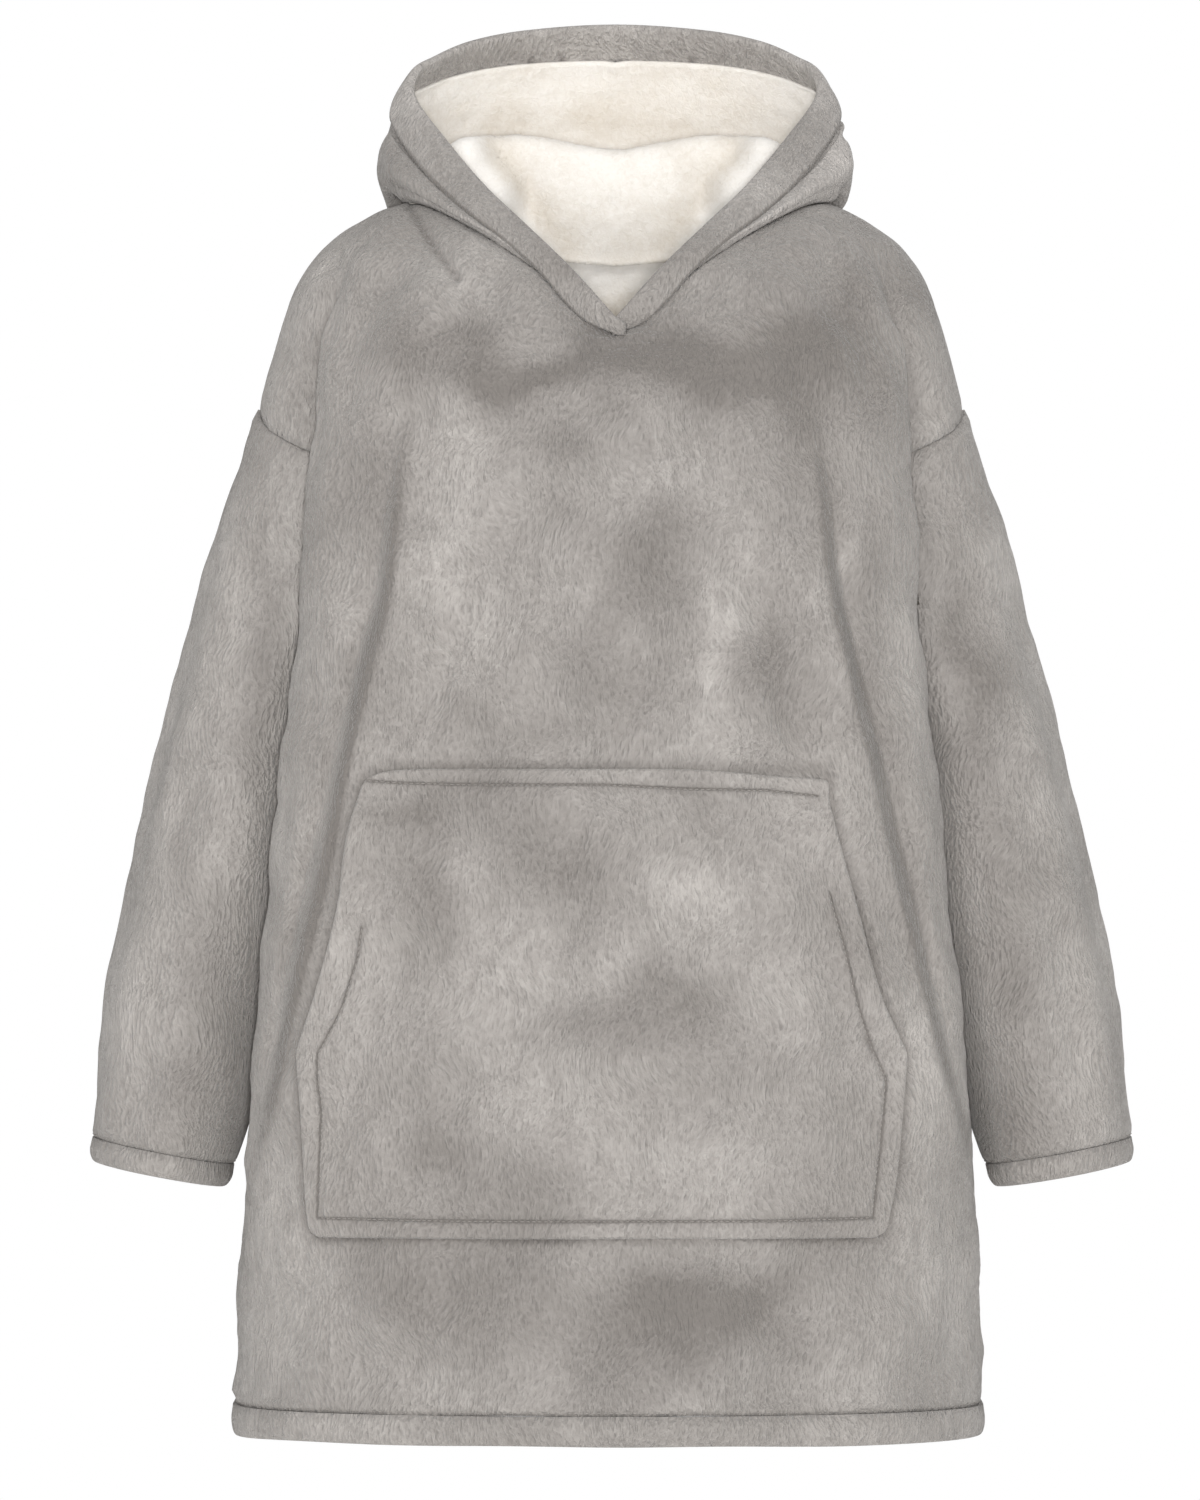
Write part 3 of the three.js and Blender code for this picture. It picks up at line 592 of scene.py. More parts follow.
# The pocket's sizes, which the front's pile needs too: half widths seen from the front, by height
pocketSections = tableOf(
    "z left right",
    (-410.5, 153, 150),
    (-412, 163, 156),
    (-416, 172, 158),
    (-426, 177.5, 158),
    (-464, 187, 166),
    (-509, 193, 178),
    (-573, 209, 195),
    (-602, 219, 208),
    (-613, 222, 213),
    (-624, 222, 213),
    (-650, 220, 211),
    (-700, 217, 206),
    (-732, 214.5, 200),
    (-741, 212, 197),
    (-745, 207, 190),
)
pocketCut = {
    "rowSpacing": (16, 20, 86),      # near an edge, how many cells there, and how many between
    "columnSpacing": (24, 34, 82),
    "top": -410.5,
    "bottom": -745.5,
    "stand": 4.4,        # the cloth's outer face off the front at its sewn edges
    "rise": 3.0,         # further off in the middle
    "riseWidth": 60,
    "roll": 2.6,         # radius of its turned edge
    "mouthTop": -424,    # the slanted sides are the hand openings
    "mouthEnd": -612,
    "mouthRise": 3.4,
    "dipFoot": -470,     # above this its top edge dips towards both corners
    "dipFade": 60,
    "dipRight": (7.0, 40, 120),      # how far, from where across and over what width
    "dipLeft": (1.5, 130, 40),
    "follows": 0.6,      # share of the front's finer creases that show through it
    "gap": 0.8,          # between it and the front
    "cloth": (0.5, 3.0),             # thinnest and thickest
    "stitchGroove": (1.5, 1.0),      # depth and width of the sharp and the soft groove along the stitches
    "stitchHollow": (0.7, 4),
    "stitchShade": (0.85, 0.8),      # and of the painted shade in the pile along them
    "stitchShadeWide": (0.15, 4),
    "shade": 0.4,        # of the front's pile round it
    "shadeWidth": 4.5,
    "waves": ((0.9, 70, 31), (0.45, 30, 32)),   # height, size and seed
    "puckers": (0.4, 10, 33),                   # beside the stitches
}
# long soft folds, from top to bottom: where they run, how wide they swell and how high, minus for a trough
frontFolds = tableOf(
    "top end width height outerWidth",
    ((68, -230), (128, -425), 17, 6, 8),
    ((-192, -50), (-188, -180), 14, -8),
    ((186, -60), (184, -170), 12, -6),
    ((-226, -760), (-258, -850), 12, -4),
    ((30, -560), (10, -880), 42, -5),
)
# the front laps over the sides in a long fold on the left and the right, steep on its outer side
sideFolds = tableOf(
    "z left right height",
    (-150, -138, 144, 0),
    (-204, -146, 150, 5),
    (-284, -155, 159, 12),
    (-333, -168, 171, 14),
    (-413, -186, 190, 14),
    (-483, -199, 206, 14),
    (-541, -213, 219, 13),
    (-603, -228, 233, 11),
    (-653, -238, 248, 8),
    (-700, -252, 262, 3),
    (-740, -262, 270, 0),
)
sideFoldCut = {"width": 38, "drop": 4.4, "hollow": 10, "hollowDepth": 0.4, "shade": 1.05, "shadeWidth": 4.6}
backFolds = tableOf(
    "top end width height",
    ((-120, -170), (-205, -840), 30, 10),
    ((-158, -220), (-240, -760), 18, -7),
    ((112, -180), (196, -870), 28, 9),
    ((150, -230), (236, -740), 17, -7),
    ((-30, -260), (-52, -880), 34, -8),
    ((40, -330), (66, -880), 26, 6),
)
# finer creases of the cloth, uneven in length, depth and spacing
frontCreases = tableOf(
    "top end width height",
    ((-118, -105), (-150, -250), 11, -1.8),
    ((-96, -120), (-112, -300), 22, 2.2),
    ((-40, -150), (-66, -330), 26, -2.4),
    ((10, -140), (4, -300), 30, 2.0),
    ((52, -130), (84, -310), 20, -2.2),
    ((128, -110), (148, -260), 13, -2.2),
    ((106, -240), (150, -420), 15, -3.0),
    ((40, -300), (76, -420), 18, -2.0),
    ((-170, -300), (-196, -520), 12, 2.0),
    ((-120, -280), (-150, -420), 15, -2.2),
    ((-60, -330), (-70, -420), 20, 1.8),
    ((-216, -330), (-238, -600), 9, 2.4),
    ((214, -330), (240, -610), 9, 2.6),
    ((186, -420), (222, -600), 10, -2.2),
    ((-205, -560), (-244, -860), 14, 2.6),
    ((-150, -730), (-168, -885), 18, -2.8),
    ((-92, -752), (-98, -885), 22, 2.4),
    ((-30, -750), (-44, -885), 16, -2.2),
    ((66, -755), (60, -885), 24, 2.8),
    ((128, -750), (140, -885), 18, -3.0),
    ((196, -740), (214, -885), 15, 2.6),
    ((226, -560), (258, -860), 12, -2.4),
    ((-238, -640), (-252, -800), 8, -2.0),
)
backCreases = tableOf(
    "top end width height",
    ((-70, -90), (-120, -240), 20, -3.0),
    ((66, -95), (128, -250), 18, -2.6),
    ((0, -110), (14, -330), 26, 2.4),
    ((-100, -330), (-130, -640), 18, -3.4),
    ((90, -360), (120, -700), 20, -3.2),
    ((150, -480), (180, -860), 16, 2.6),
    ((-176, -420), (-214, -800), 15, 2.8),
    ((10, -520), (16, -860), 22, 2.4),
    ((-96, -650), (-110, -885), 20, -3.0),
    ((130, -700), (138, -885), 18, -2.8),
    ((-232, -520), (-250, -830), 9, -2.2),
)


def foldHeight(folds, x, z):
    height = 0.0
    for fold in folds:
        (topX, topZ), (endX, endZ) = fold["top"], fold["end"]
        t = (topZ - z) / (topZ - endZ)
        fade = ease(t / 0.2) * ease((1 - t) / 0.25)
        distance = x - mix(topX, endX, t)
        # some folds drop off sooner on the side away from the garment's middle
        outwards = distance * np.sign(topX + endX) > 0
        width = np.where(outwards, fold.get("outerWidth", fold["width"]), fold["width"])
        height = height + fold["height"] * fade * bell(distance, width)
    return height


def lineDistance(x, z, line):
    # distance to a line of points, seen from the front
    nearest = np.full(x.shape, farAway)
    for (ax, az), (bx, bz) in zip(line[:-1], line[1:]):
        dx, dz = bx - ax, bz - az
        t = np.clip(((x - ax) * dx + (z - az) * dz) / (dx * dx + dz * dz), 0, 1)
        nearest = np.minimum(nearest, np.hypot(x - ax - t * dx, z - az - t * dz))
    return nearest


def fromSideFold(x, z):
    # how far outside the nearer side fold a point lies
    left = readTable(sideFolds, "z", "left", z)
    right = readTable(sideFolds, "z", "right", z)
    return np.where(x < 0, left - x, x - right)


def sideFoldHeight(x, z):
    out = fromSideFold(x, z)
    width = np.where(out > 0, sideFoldCut["drop"], sideFoldCut["width"])
    hollow = sideFoldCut["hollowDepth"] * bell(out - sideFoldCut["hollow"], sideFoldCut["hollow"] * 0.6)
    return readTable(sideFolds, "z", "height", z) * (bell(out, width) - hollow)


def bodyAt(z, column):
    return readTable(bodySections, "z", column, z)


def creasedShare(z):
    return ease((bodyCut["creaseTop"] - z) / (bodyCut["creaseTop"] - bodyCut["creaseFull"]))


def arch(share):
    power = bodyCut["sectionPower"]
    return np.maximum(0, 1 - np.abs(share) ** power) ** (1 / power)


def panelDepth(x, z, isFront, onCap, finer=True):
    # how far the front or back stands off the middle at x, and the shoulder cap beyond the side fold
    depth = bodyAt(z, "front" if isFront else "back")
    fold = bodyAt(z, "frontFold" if isFront else "backFold")
    half = bodyAt(z, "half")
    outer = readTable(capSections, "z", "outer", z)
    middle = bodyCut["middle"] * (-1 if isFront else 1)
    smooth = middle + (depth - middle) * arch(x / outer)
    if onCap:
        step = readTable(capSections, "z", "frontStep" if isFront else "backStep", z)
        across = np.clip((np.abs(x) - half) / (outer - half), 0, 1)
        creased = middle + (fold - step - middle) * np.sqrt(1 - across * across)
    else:
        creased = fold + (depth - fold) * arch(np.clip(x / half, -1, 1))
    edge = ease((half - np.abs(x)) / 14)
    soft = foldHeight(frontFolds if isFront else backFolds, x, z)
    if isFront:
        soft = soft + sideFoldHeight(x, z)
    if finer:
        soft = soft + foldHeight(frontCreases if isFront else backCreases, x, z)
    return mix(smooth, creased, creasedShare(z)) + soft * edge


def flankX(y, z):
    # X of the body's flank between its two side folds
    frontFold = bodyAt(z, "frontFold")
    along = np.clip((y + frontFold) / (frontFold + bodyAt(z, "backFold")), 0, 1)
    return bodyAt(z, "half") - bodyAt(z, "dent") * np.sin(np.pi * along) ** 2


def panelPoints(heights, t, isFront):
    # points of the front or back, t from the centre to the side fold; heights has middle and fold columns
    z = mix(heights["front" if isFront else "back"], heights["fold"], ease(t))
    x = bodyAt(z, "half") * np.sin(t * np.pi / 2) ** (2 / bodyCut["sectionPower"])
    return x, z


def capPoints(heights, t, isFront):
    # points of the shoulder cap, and of the flank below the underarm, t from the side fold outwards
    sign = -1 if isFront else 1
    z = mix(heights["fold"], heights["side"], t)
    half = bodyAt(z, "half")
    step = readTable(capSections, "z", "frontStep" if isFront else "backStep", z)
    low = -bodyAt(z, "frontFold") + step
    high = bodyAt(z, "backFold") - step
    flankY = mix(low if isFront else high, (low + high) / 2, t)
    onFlank = np.stack([flankX(flankY, z), flankY, z + 0 * flankY], -1)
    fold = bodyAt(z, "frontFold" if isFront else "backFold")
    start = mix(half + 4, flankX(sign * (fold - step), z), creasedShare(z))
    x = mix(start, readTable(capSections, "z", "outer", z), np.sin(t * np.pi / 2))
    onCap = np.stack([x, sign * panelDepth(np.maximum(x, half), z, isFront, True), z], -1)
    below = (heights["row"] >= bodyCut["underarm"] - 1e-6)[..., None]
    return np.where(below, onFlank, onCap)


def neckPoint(turn):
    return readTable(neckSeam, "turn", "place", turn)


def fineRows():
    # row numbers of the body, close enough together to carry its creases
    heights = [row["front"] for row in bodyRows]
    numbers = [row["row"] for row in bodyRows]
    rows = [0.0]
    for k in range(len(heights) - 1):
        steps = max(2, round((heights[k] - heights[k + 1]) / bodyCut["rowHeight"]))
        rows += list(np.linspace(numbers[k], numbers[k + 1], steps + 1)[1:])
    return np.array(rows)


def rowHeights(rows):
    return {
        "row": rows,
        **{name: readTable(bodyRows, "row", name, rows) for name in ("front", "fold", "side", "back")},
    }


def halfBody(rows):
    # columns round the right half, from the front's centre to the back's, for each row number
    heights = {name: value[:, None] for name, value in rowHeights(rows).items()}
    panelT = np.linspace(0, 1, bodyCut["frontColumns"] + 1)[None, :]
    capT = np.linspace(0, 1, bodyCut["capColumns"] + 1)[None, :]
    parts = []
    for isFront in (True, False):
        x, z = panelPoints(heights, panelT, isFront)
        sign = -1 if isFront else 1
        panel = np.stack([x, sign * panelDepth(x, z, isFront, False), z], -1)
        cap = capPoints(heights, capT, isFront)
        share = np.linspace(0, 1, bodyCut["foldColumns"] + 1)[1:-1][None, :, None]
        # the fold rolls under before it turns out again as the cap
        roll = mix(panel[:, -1:], cap[:, :1], share)
        parts.append(np.concatenate([panel, roll, cap], 1))
    front, back = parts
    return np.concatenate([front, back[:, :-1][:, ::-1]], 1)


def columnTurns():
    # the angle at which each column of the half body reaches the neck seam
    fold = bodyCut["foldTurn"]
    front = list(np.linspace(0, fold - 1, bodyCut["frontColumns"] + 1))
    roll = list(np.linspace(fold - 1, fold + 1, bodyCut["foldColumns"] + 1)[1:-1])
    cap = list(np.linspace(fold + 1, 90, bodyCut["capColumns"] + 1))
    half = front + roll + cap
    return np.array(half + [180 - turn for turn in half[:-1][::-1]])


def yokeRowsOf(base, shift):
    # shift moves the neck sideways: on this garment it sits a little right of the middle
    turns = columnTurns()
    neck = neckPoint(turns) + np.array([shift, 0, 0])
    rows = []
    for t in np.arange(bodyCut["yokeRows"]) / bodyCut["yokeRows"]:
        out = mix(math.sin(t * math.pi / 2), t, bodyCut["yokeFlatness"])
        down = mix(1 - math.cos(t * math.pi / 2), t, bodyCut["yokeFlatness"])
        rows.append(np.stack([
            mix(neck[:, 0], base[:, 0], out),
            mix(neck[:, 1], base[:, 1], out),
            mix(neck[:, 2], base[:, 2], down),
        ], -1))
    return np.stack(rows)


def fullRing(half, leftHalf=None):
    left = (half if leftHalf is None else leftHalf)[:, 1:-1][:, ::-1] * np.array([-1, 1, 1])
    return np.concatenate([half, left], 1)


# the two sides aren't quite alike: the right shoulder is fuller, the lower left side slimmer. Each swell
# pushes one side to the right, from start on over width, between low and high
sideSwells = tableOf(
    "side push start width high fadeDown low fadeUp",
    (1, 4.8, 150, 70, 5, 40, -330, 120),
    (-1, 3.5, 150, 60, -560, 90, -880, 60),
    (1, -1.5, 150, 60, -560, 90, -880, 60),
)


def ownShape(points):
    x, z = points[..., 0], points[..., 2]
    push = 0 * x
    for swell in sideSwells:
        across = ease((swell["side"] * x - swell["start"]) / swell["width"])
        upright = ease((swell["high"] - z) / swell["fadeDown"]) * ease((z - swell["low"]) / swell["fadeUp"])
        push = push + swell["push"] * across * upright
    return points + np.stack([push, 0 * x, 0 * x], -1)


# patches where the nap lies another way: their middle, their half width and half height, and how much
# darker (minus) or lighter they are
frontNap = tableOf(
    "at size tone",
    ((-62, -122), (66, 20), -0.75),
    ((44, -124), (70, 22), -0.7),
    ((120, -110), (44, 26), -0.6),
    ((176, -70), (40, 44), -0.6),
    ((150, -150), (40, 30), -0.3),
    ((-30, -175), (36, 22), -0.3),
    ((-150, -105), (26, 40), -0.35),
    # a darker patch that is painted shade beside the left side fold
    ((-172, -235), (26, 60), -0.25),
    ((-196, -340), (16, 60), 0.25),
    ((-100, -150), (24, 40), 0.3),
    ((-110, -260), (26, 60), 0.35),
    ((30, -205), (46, 20), 0.3),
    ((140, -180), (20, 44), -0.35),
    ((26, -275), (34, 46), -0.4),
    ((82, -300), (14, 46), 0.5),
    ((-8, -330), (30, 46), -0.25),
    ((112, -350), (16, 50), -0.35),
    ((-96, -370), (40, 22), -0.25),
    ((-40, -385), (40, 12), -0.2),
    ((190, -330), (18, 70), -0.4),
    ((168, -270), (12, 50), 0.3),
    ((-152, -440), (26, 20), -0.4),
    ((-104, -470), (40, 24), 0.25),
    ((-40, -470), (30, 40), -0.2),
    ((60, -440), (40, 22), -0.25),
    ((70, -500), (44, 26), 0.3),
    ((-134, -520), (20, 60), -0.35),
    ((-66, -560), (34, 40), 0.2),
    ((4, -590), (46, 26), -0.5),
    ((40, -570), (30, 16), -0.35),
    ((110, -590), (30, 50), 0.25),
    ((-118, -680), (22, 40), -0.5),
    ((-44, -660), (40, 30), 0.2),
    ((60, -690), (50, 22), 0.2),
    ((-150, -790), (40, 46), -0.4),
    ((-60, -800), (50, 40), -0.25),
    ((40, -804), (84, 40), -0.6),
    ((110, -790), (44, 34), -0.4),
    ((-220, -800), (30, 60), 0.25),
    ((190, -810), (50, 40), 0.2),
    ((226, -620), (14, 90), 0.3),
    ((-236, -560), (14, 120), 0.2),
)
backNap = tableOf(
    "at size tone",
    ((-60, -170), (70, 40), 0.3),
    ((70, -150), (50, 34), -0.35),
    ((-130, -280), (30, 60), -0.4),
    ((20, -300), (50, 60), 0.3),
    ((130, -340), (34, 70), 0.25),
    ((-50, -430), (50, 46), -0.4),
    ((90, -480), (44, 60), -0.45),
    ((-150, -520), (36, 70), 0.3),
    ((10, -600), (60, 44), 0.25),
    ((-90, -680), (46, 60), -0.45),
    ((150, -700), (44, 60), 0.3),
    ((60, -780), (70, 40), -0.4),
    ((-180, -800), (40, 50), 0.25),
)


def napTone(points, patches, seed):
    # tone of the brushed nap at every point: the patches with wandering edges, plus some of its own
    x, z = points[..., 0], points[..., 2]
    wander = layeredNoise(points, (10, 90, seed))
    sway = layeredNoise(points, (10, 70, seed + 1))
    tone = layeredNoise(points, (0.14, 120, seed + 2))
    for patch in patches:
        (px, pz), (width, height) = patch["at"], patch["size"]
        far = ((x + wander - px) / width) ** 2 + ((z + sway - pz) / height) ** 2
        tone = tone + patch["tone"] * np.exp(-far)
    return np.clip(tone, -1, 1)


def groove(distance, depth, width):
    return depth * bell(distance, width)


def seamGroove(points, outwards, distance, depth, width):
    return points - outwards * groove(distance, depth, width)[..., None]


def bodyGrid():
    # the whole ring of columns from the neck to the hem, and its row numbers, below 0 in the yoke
    rows = fineRows()
    half = halfBody(rows)
    shift = bodyCut["neckShift"]
    right = np.concatenate([yokeRowsOf(half[0], shift), half])
    left = np.concatenate([yokeRowsOf(half[0], -shift), half])
    rowNumbers = np.concatenate([np.arange(-bodyCut["yokeRows"], 0) / bodyCut["yokeRows"], rows])
    return ownShape(fullRing(right, left)), rowNumbers


def softenBody(grid, rowNumbers, fromSide):
    # softens the rolled folds, but keeps the edges of the armholes and the seams where they are
    nearFold = bell(fromSide - bodyCut["capColumns"] - bodyCut["foldColumns"] / 2, 5)
    nearHole = (rowNumbers > bodyCut["armhole"] - 0.3) & (rowNumbers < bodyCut["underarm"] + 0.2)
    weight = np.clip(nearFold, 0.25, 1)[None, :] * freeRows(len(grid))
    weight = weight * np.where(nearHole, 0.35, 1.0)[:, None]
    onCap = fromSide <= bodyCut["capColumns"] + 1
    return smoothGrid(grid, True, 6, np.where(nearHole[:, None] & onCap[None, :], 0.0, weight))


def bodyRelief(grid, normals, rowNumbers, fromSide, side):
    # the cloth's own waves and the crease between the front and the shoulder cap
    cloth = layeredNoise(grid, *bodyCut["waves"])
    cloth = cloth * freeRows(len(grid)) * (0.3 + 0.7 * (fromSide > 6))[None, :]
    grid = grid + normals * cloth[..., None]
    offRoll = fromSide - (bodyCut["capColumns"] + bodyCut["foldColumns"] / 2)
    fade = (ease((rowNumbers + 0.9) / 1.6) * ease((5.4 - rowNumbers) / 3))[:, None]
    # widths here are in columns; the cloth swells up again beside the crease
    crease = bodyCut["creaseDepth"] * bell(offRoll, 2.2) - bodyCut["creaseSwell"] * bell(offRoll - 7, 4)
    grid = grid - normals * (fade * crease[None, :])[..., None]
    # grooves at the side and shoulder seams, above the hem and at the armholes
    toRight = np.linalg.norm(grid - grid[:, [side]], axis=2)
    toLeft = np.linalg.norm(grid - grid[:, [grid.shape[1] - side]], axis=2)
    grid = seamGroove(grid, normals, np.minimum(toRight, toLeft), *bodySeams["side"])
    grid = seamGroove(grid, normals, grid[..., 2] - bodyCut["hemTop"], *bodySeams["hem"])
    toHole = ((bodyCut["armhole"] - rowNumbers) * bodyCut["mmPerRow"])[:, None]
    onCap = (fromSide <= bodyCut["capColumns"])[None, :]
    grid = seamGroove(grid, normals, np.where(onCap & (toHole > -1), toHole, farAway), *bodySeams["armhole"])
    return necklineStitch(grid, normals)


def frontNapAndShade(grid, fromTuck):
    # the front's nap, with painted shade in the tuck, outside the side folds and round the pocket
    x, z = grid[..., 0], grid[..., 2]
    # painted shade in the tuck beside the neck
    tones = napTone(grid, frontNap, 40) - 0.6 * bell(fromTuck, 2.4)
    # painted shade on the steep outer side of each side fold
    outside = fromSideFold(x, z) - 0.8 * sideFoldCut["shadeWidth"]
    shade = sideFoldCut["shade"] * readTable(sideFolds, "z", "height", z) / 14
    tones = tones - shade * bell(outside, sideFoldCut["shadeWidth"])
    # painted shade on the front round the pocket's edges
    leftSide = [(-row["left"], row["z"]) for row in pocketSections]
    rightSide = [(row["right"], row["z"]) for row in reversed(pocketSections)]
    fromPocket = lineDistance(x, z, leftSide + rightSide + leftSide[:1])
    return tones - pocketCut["shade"] * bell(fromPocket, pocketCut["shadeWidth"])


# painted light high up inside the neck, painted shade towards the V's point
def paintedInsideLightAndShade(z):
    deepening = insideLightAndShade["deepening"] * ease((insideLightAndShade["top"] - z) / insideLightAndShade["reach"])
    return (insideLightAndShade["plain"] - deepening) * ease((z - insideLightAndShade["foot"]) / insideLightAndShade["footReach"])


def makeBody():
    grid, rowNumbers = bodyGrid()
    count = grid.shape[1]
    # side is the right side seam's column, and the left one's is as far from the end
    side = bodyCut["frontColumns"] + bodyCut["foldColumns"] + bodyCut["capColumns"]
    index = np.arange(count)
    fromSide = np.minimum(np.abs(index - side), np.abs(index - (count - side)))
    cellFromSide = np.minimum(np.abs(index + 0.5 - side), np.abs(index + 0.5 - (count - side)))
    inHole = (rowNumbers >= bodyCut["armhole"] - 1e-6) & (rowNumbers < bodyCut["underarm"] - 1e-6)
    armhole = inHole[:, None] & (cellFromSide < bodyCut["capColumns"])[None, :]
    grid = softenBody(grid, rowNumbers, fromSide)
    normals = normalsOf(grid, True, 1)
    grid = bodyRelief(grid, normals, rowNumbers, fromSide, side)
    onFront = ease((-grid[..., 1] - 5) / 30)
    creases = foldHeight(neckCreases, grid[..., 0], grid[..., 2]) * onFront
    fromTuck = np.where(grid[..., 1] < 0, lineDistance(grid[..., 0], grid[..., 2], neckTuck), farAway)
    creases = creases - bodyCut["tuckDepth"] * bell(fromTuck, 3)
    grid = grid + normals * creases[..., None]
    inner = grid - evenNormals(normals, True) * bodyCut["cloth"]
    # painted light and shade on the body's lining near the neck
    inside = paintedInsideLightAndShade(grid[..., 2])
    tones = {True: frontNapAndShade(grid, fromTuck), False: napTone(grid, backNap, 40)}
    isFrontColumn = (index < side) | (index >= count - side)
    pieces = []
    for name, isFront in (("front_panel", True), ("back_panel", False)):
        kept = (isFrontColumn == isFront)[None, :] & ~armhole[:-1]
        cut = grid.copy()
        if not isFront:
            # a hair's gap along the side and shoulder seams
            for column, neighbour in ((side, side + 1), (count - side, count - side - 1)):
                gap = cut[:, neighbour] - cut[:, column]
                gap /= np.linalg.norm(gap, axis=1)[:, None] + 1e-9
                cut[:, column] += gap * bodyCut["seamGap"]
        piece = shellPiece(name, cut, inner, kept, True, [fleece, sherpa], tones[isFront], inside)
        finishPiece(piece, "fleece", "front" if isFront else "back")
        pieces.append(piece)
    return pieces, makeStitches("hem_stitches", *seamRow(grid, normals))


# faint topstitching that follows the neckline on the front
necklineCurve = tableOf(
    "x z",
    (-70, -84),
    (-40, -89),
    (-14, -93),
    (22, -90),
    (52, -89),
    (80, -80),
    (122, -62),
)
necklineCut = {"left": -76, "right": 128, "fade": 12, "below": 4, "depth": 1.1, "width": 3.2}


def necklineStitch(grid, normals):
    x, z = grid[..., 0], grid[..., 2]
    line = readTable(necklineCurve, "x", "z", x)
    fade = ease((x - necklineCut["left"]) / necklineCut["fade"])
    fade = fade * ease((necklineCut["right"] - x) / necklineCut["fade"]) * (grid[..., 1] < 0)
    rise = bell(z - line + necklineCut["below"], necklineCut["width"])
    return grid - normals * (necklineCut["depth"] * fade * rise)[..., None]


(frontPiece, backPiece), hemStitches = makeBody()
print("body made")


# Turned edges: the hem and the cuffs. Their profile runs down the outside, round the fold and up the inside.
hemLook = {
    "bottom": -894,
    "top": -871.3,
    "thick": 7.4,
    "cloth": 5.0,
    "wave": 1.5,
    "pucker": 0.35,
    "profile": 26,       # points round its section
    "flare": 1.2,        # its foot stands further out than its top
    "seed": 70,
}


def turnedProfile(steps):
    # how far along the edge and how far across its thickness, for points round the section
    points = []
    for k in range(steps):
        t = k / (steps - 1)
        angle = math.pi * t
        # a flattened loop: straight sides with a round end
        across = 0.5 - 0.5 * math.cos(angle)
        down = min(1.0, math.sin(angle) ** 0.42) if 0 < t < 1 else 0.0
        points.append((down, across))
    return points


def turnedEdge(name, top, bottom, normals, look, seed, node):
    # top and bottom are closed rings of points on the outer face, normals point out of the cloth
    proud = (look["thick"] - look["cloth"]) / 2
    length = np.linalg.norm(bottom - top, axis=1)[:, None]
    downwards = (bottom - top) / length
    gathers = layeredNoise(top, (look["pucker"], 9, seed), (look["pucker"] * 0.6, 22, seed + 1))[:, None]
    rings = []
    for down, across in turnedProfile(look["profile"]):
        swell = math.sin(math.pi * min(1.0, down * 1.15)) * 0.5
        outwards = mix(proud + swell, -look["cloth"] - proud - swell, across)
        puckered = outwards + gathers * math.sin(math.pi * down) * 2
        rings.append(top + downwards * length * down + normals * puckered)
    grid = np.stack(rings)
    rows, count = grid.shape[:2]
    j, i = np.meshgrid(np.arange(rows), np.arange(count), indexing="ij")
    below = (j + 1) % rows
    beside = (i + 1) % count
    faces = np.stack([j * count + i, below * count + i, below * count + beside, j * count + beside], -1)
    piece = makePiece(name, grid.reshape(-1, 3), faces.reshape(-1, 4), [fleece])
    giveNapAndShade(piece, napTone(grid, [], 60))
    return finishPiece(piece, "fleece", node)


def makeHem():
    rows = np.array([bodyCut["hemRow"] - 0.06, bodyCut["hemRow"]])
    ring = ownShape(fullRing(halfBody(rows)))
    normals = normalsOf(ring, True, 1)[1]
    top = ring[1].copy()
    top[:, 2] = hemLook["top"]
    outwards = normals * np.array([1, 1, 0])
    outwards /= np.linalg.norm(outwards, axis=1)[:, None]
    bottom = top + outwards * hemLook["flare"]
    bottom[:, 2] = hemLook["bottom"]
    # the edge hangs in slow waves
    bottom[:, 2] += hemLook["wave"] * (softNoise(top, 190, 5) * 0.5 + 0.5)
    return turnedEdge("hem_edge", top, bottom, outwards, hemLook, hemLook["seed"], "hem")


hemPiece = makeHem()
print("hem made")


# Sleeves: outer and inner sides and the crown between them along X, front and back along Y
sleeveSections = tableOf(
    "z outer inner crown front back tilt",
    (-148, 258, 200, 214, -46, 56, 0),
    (-183, 269, 200, 214, -47, 56, 0),
    (-230, 284, 201, 219, -52, 62, 0),
    (-292, 301, 202, 224, -54, 66, 0),
    (-361, 321.5, 212, 252, -64, 76, 0.05),
    (-434, 339.5, 222, 276, -72, 84, 0.08),
    (-507, 356.5, 233, 294, -76, 87, 0.11),
    (-580, 371, 245, 308, -77, 87, 0.14),
    (-652, 380, 263, 320, -75, 84, 0.17),
    (-689, 384, 276, 328, -72, 80, 0.19),
    (-706, 384, 283, 333, -70, 78, 0.19),
)
sleeveCut = {
    "outerColumns": 72,
    "innerColumns": 54,
    "headRows": 34,
    "tubeRows": 92,
    "proud": 2.0,
    "clearance": 2.6,
    "cuffTop": -689,
    "cuffEnd": -706,
    "cloth": 5.0,
    "headGroove": (2.2, 5),      # depth and width of its seams' grooves
    "cuffGroove": (1.6, 3.5),
    "waves": ((0.55, 60, 21), (0.35, 28, 22)),   # height, size and seed
}
cuffLook = {"thick": 7.0, "cloth": 5.0, "pucker": 0.3, "profile": 22, "seed": 80}
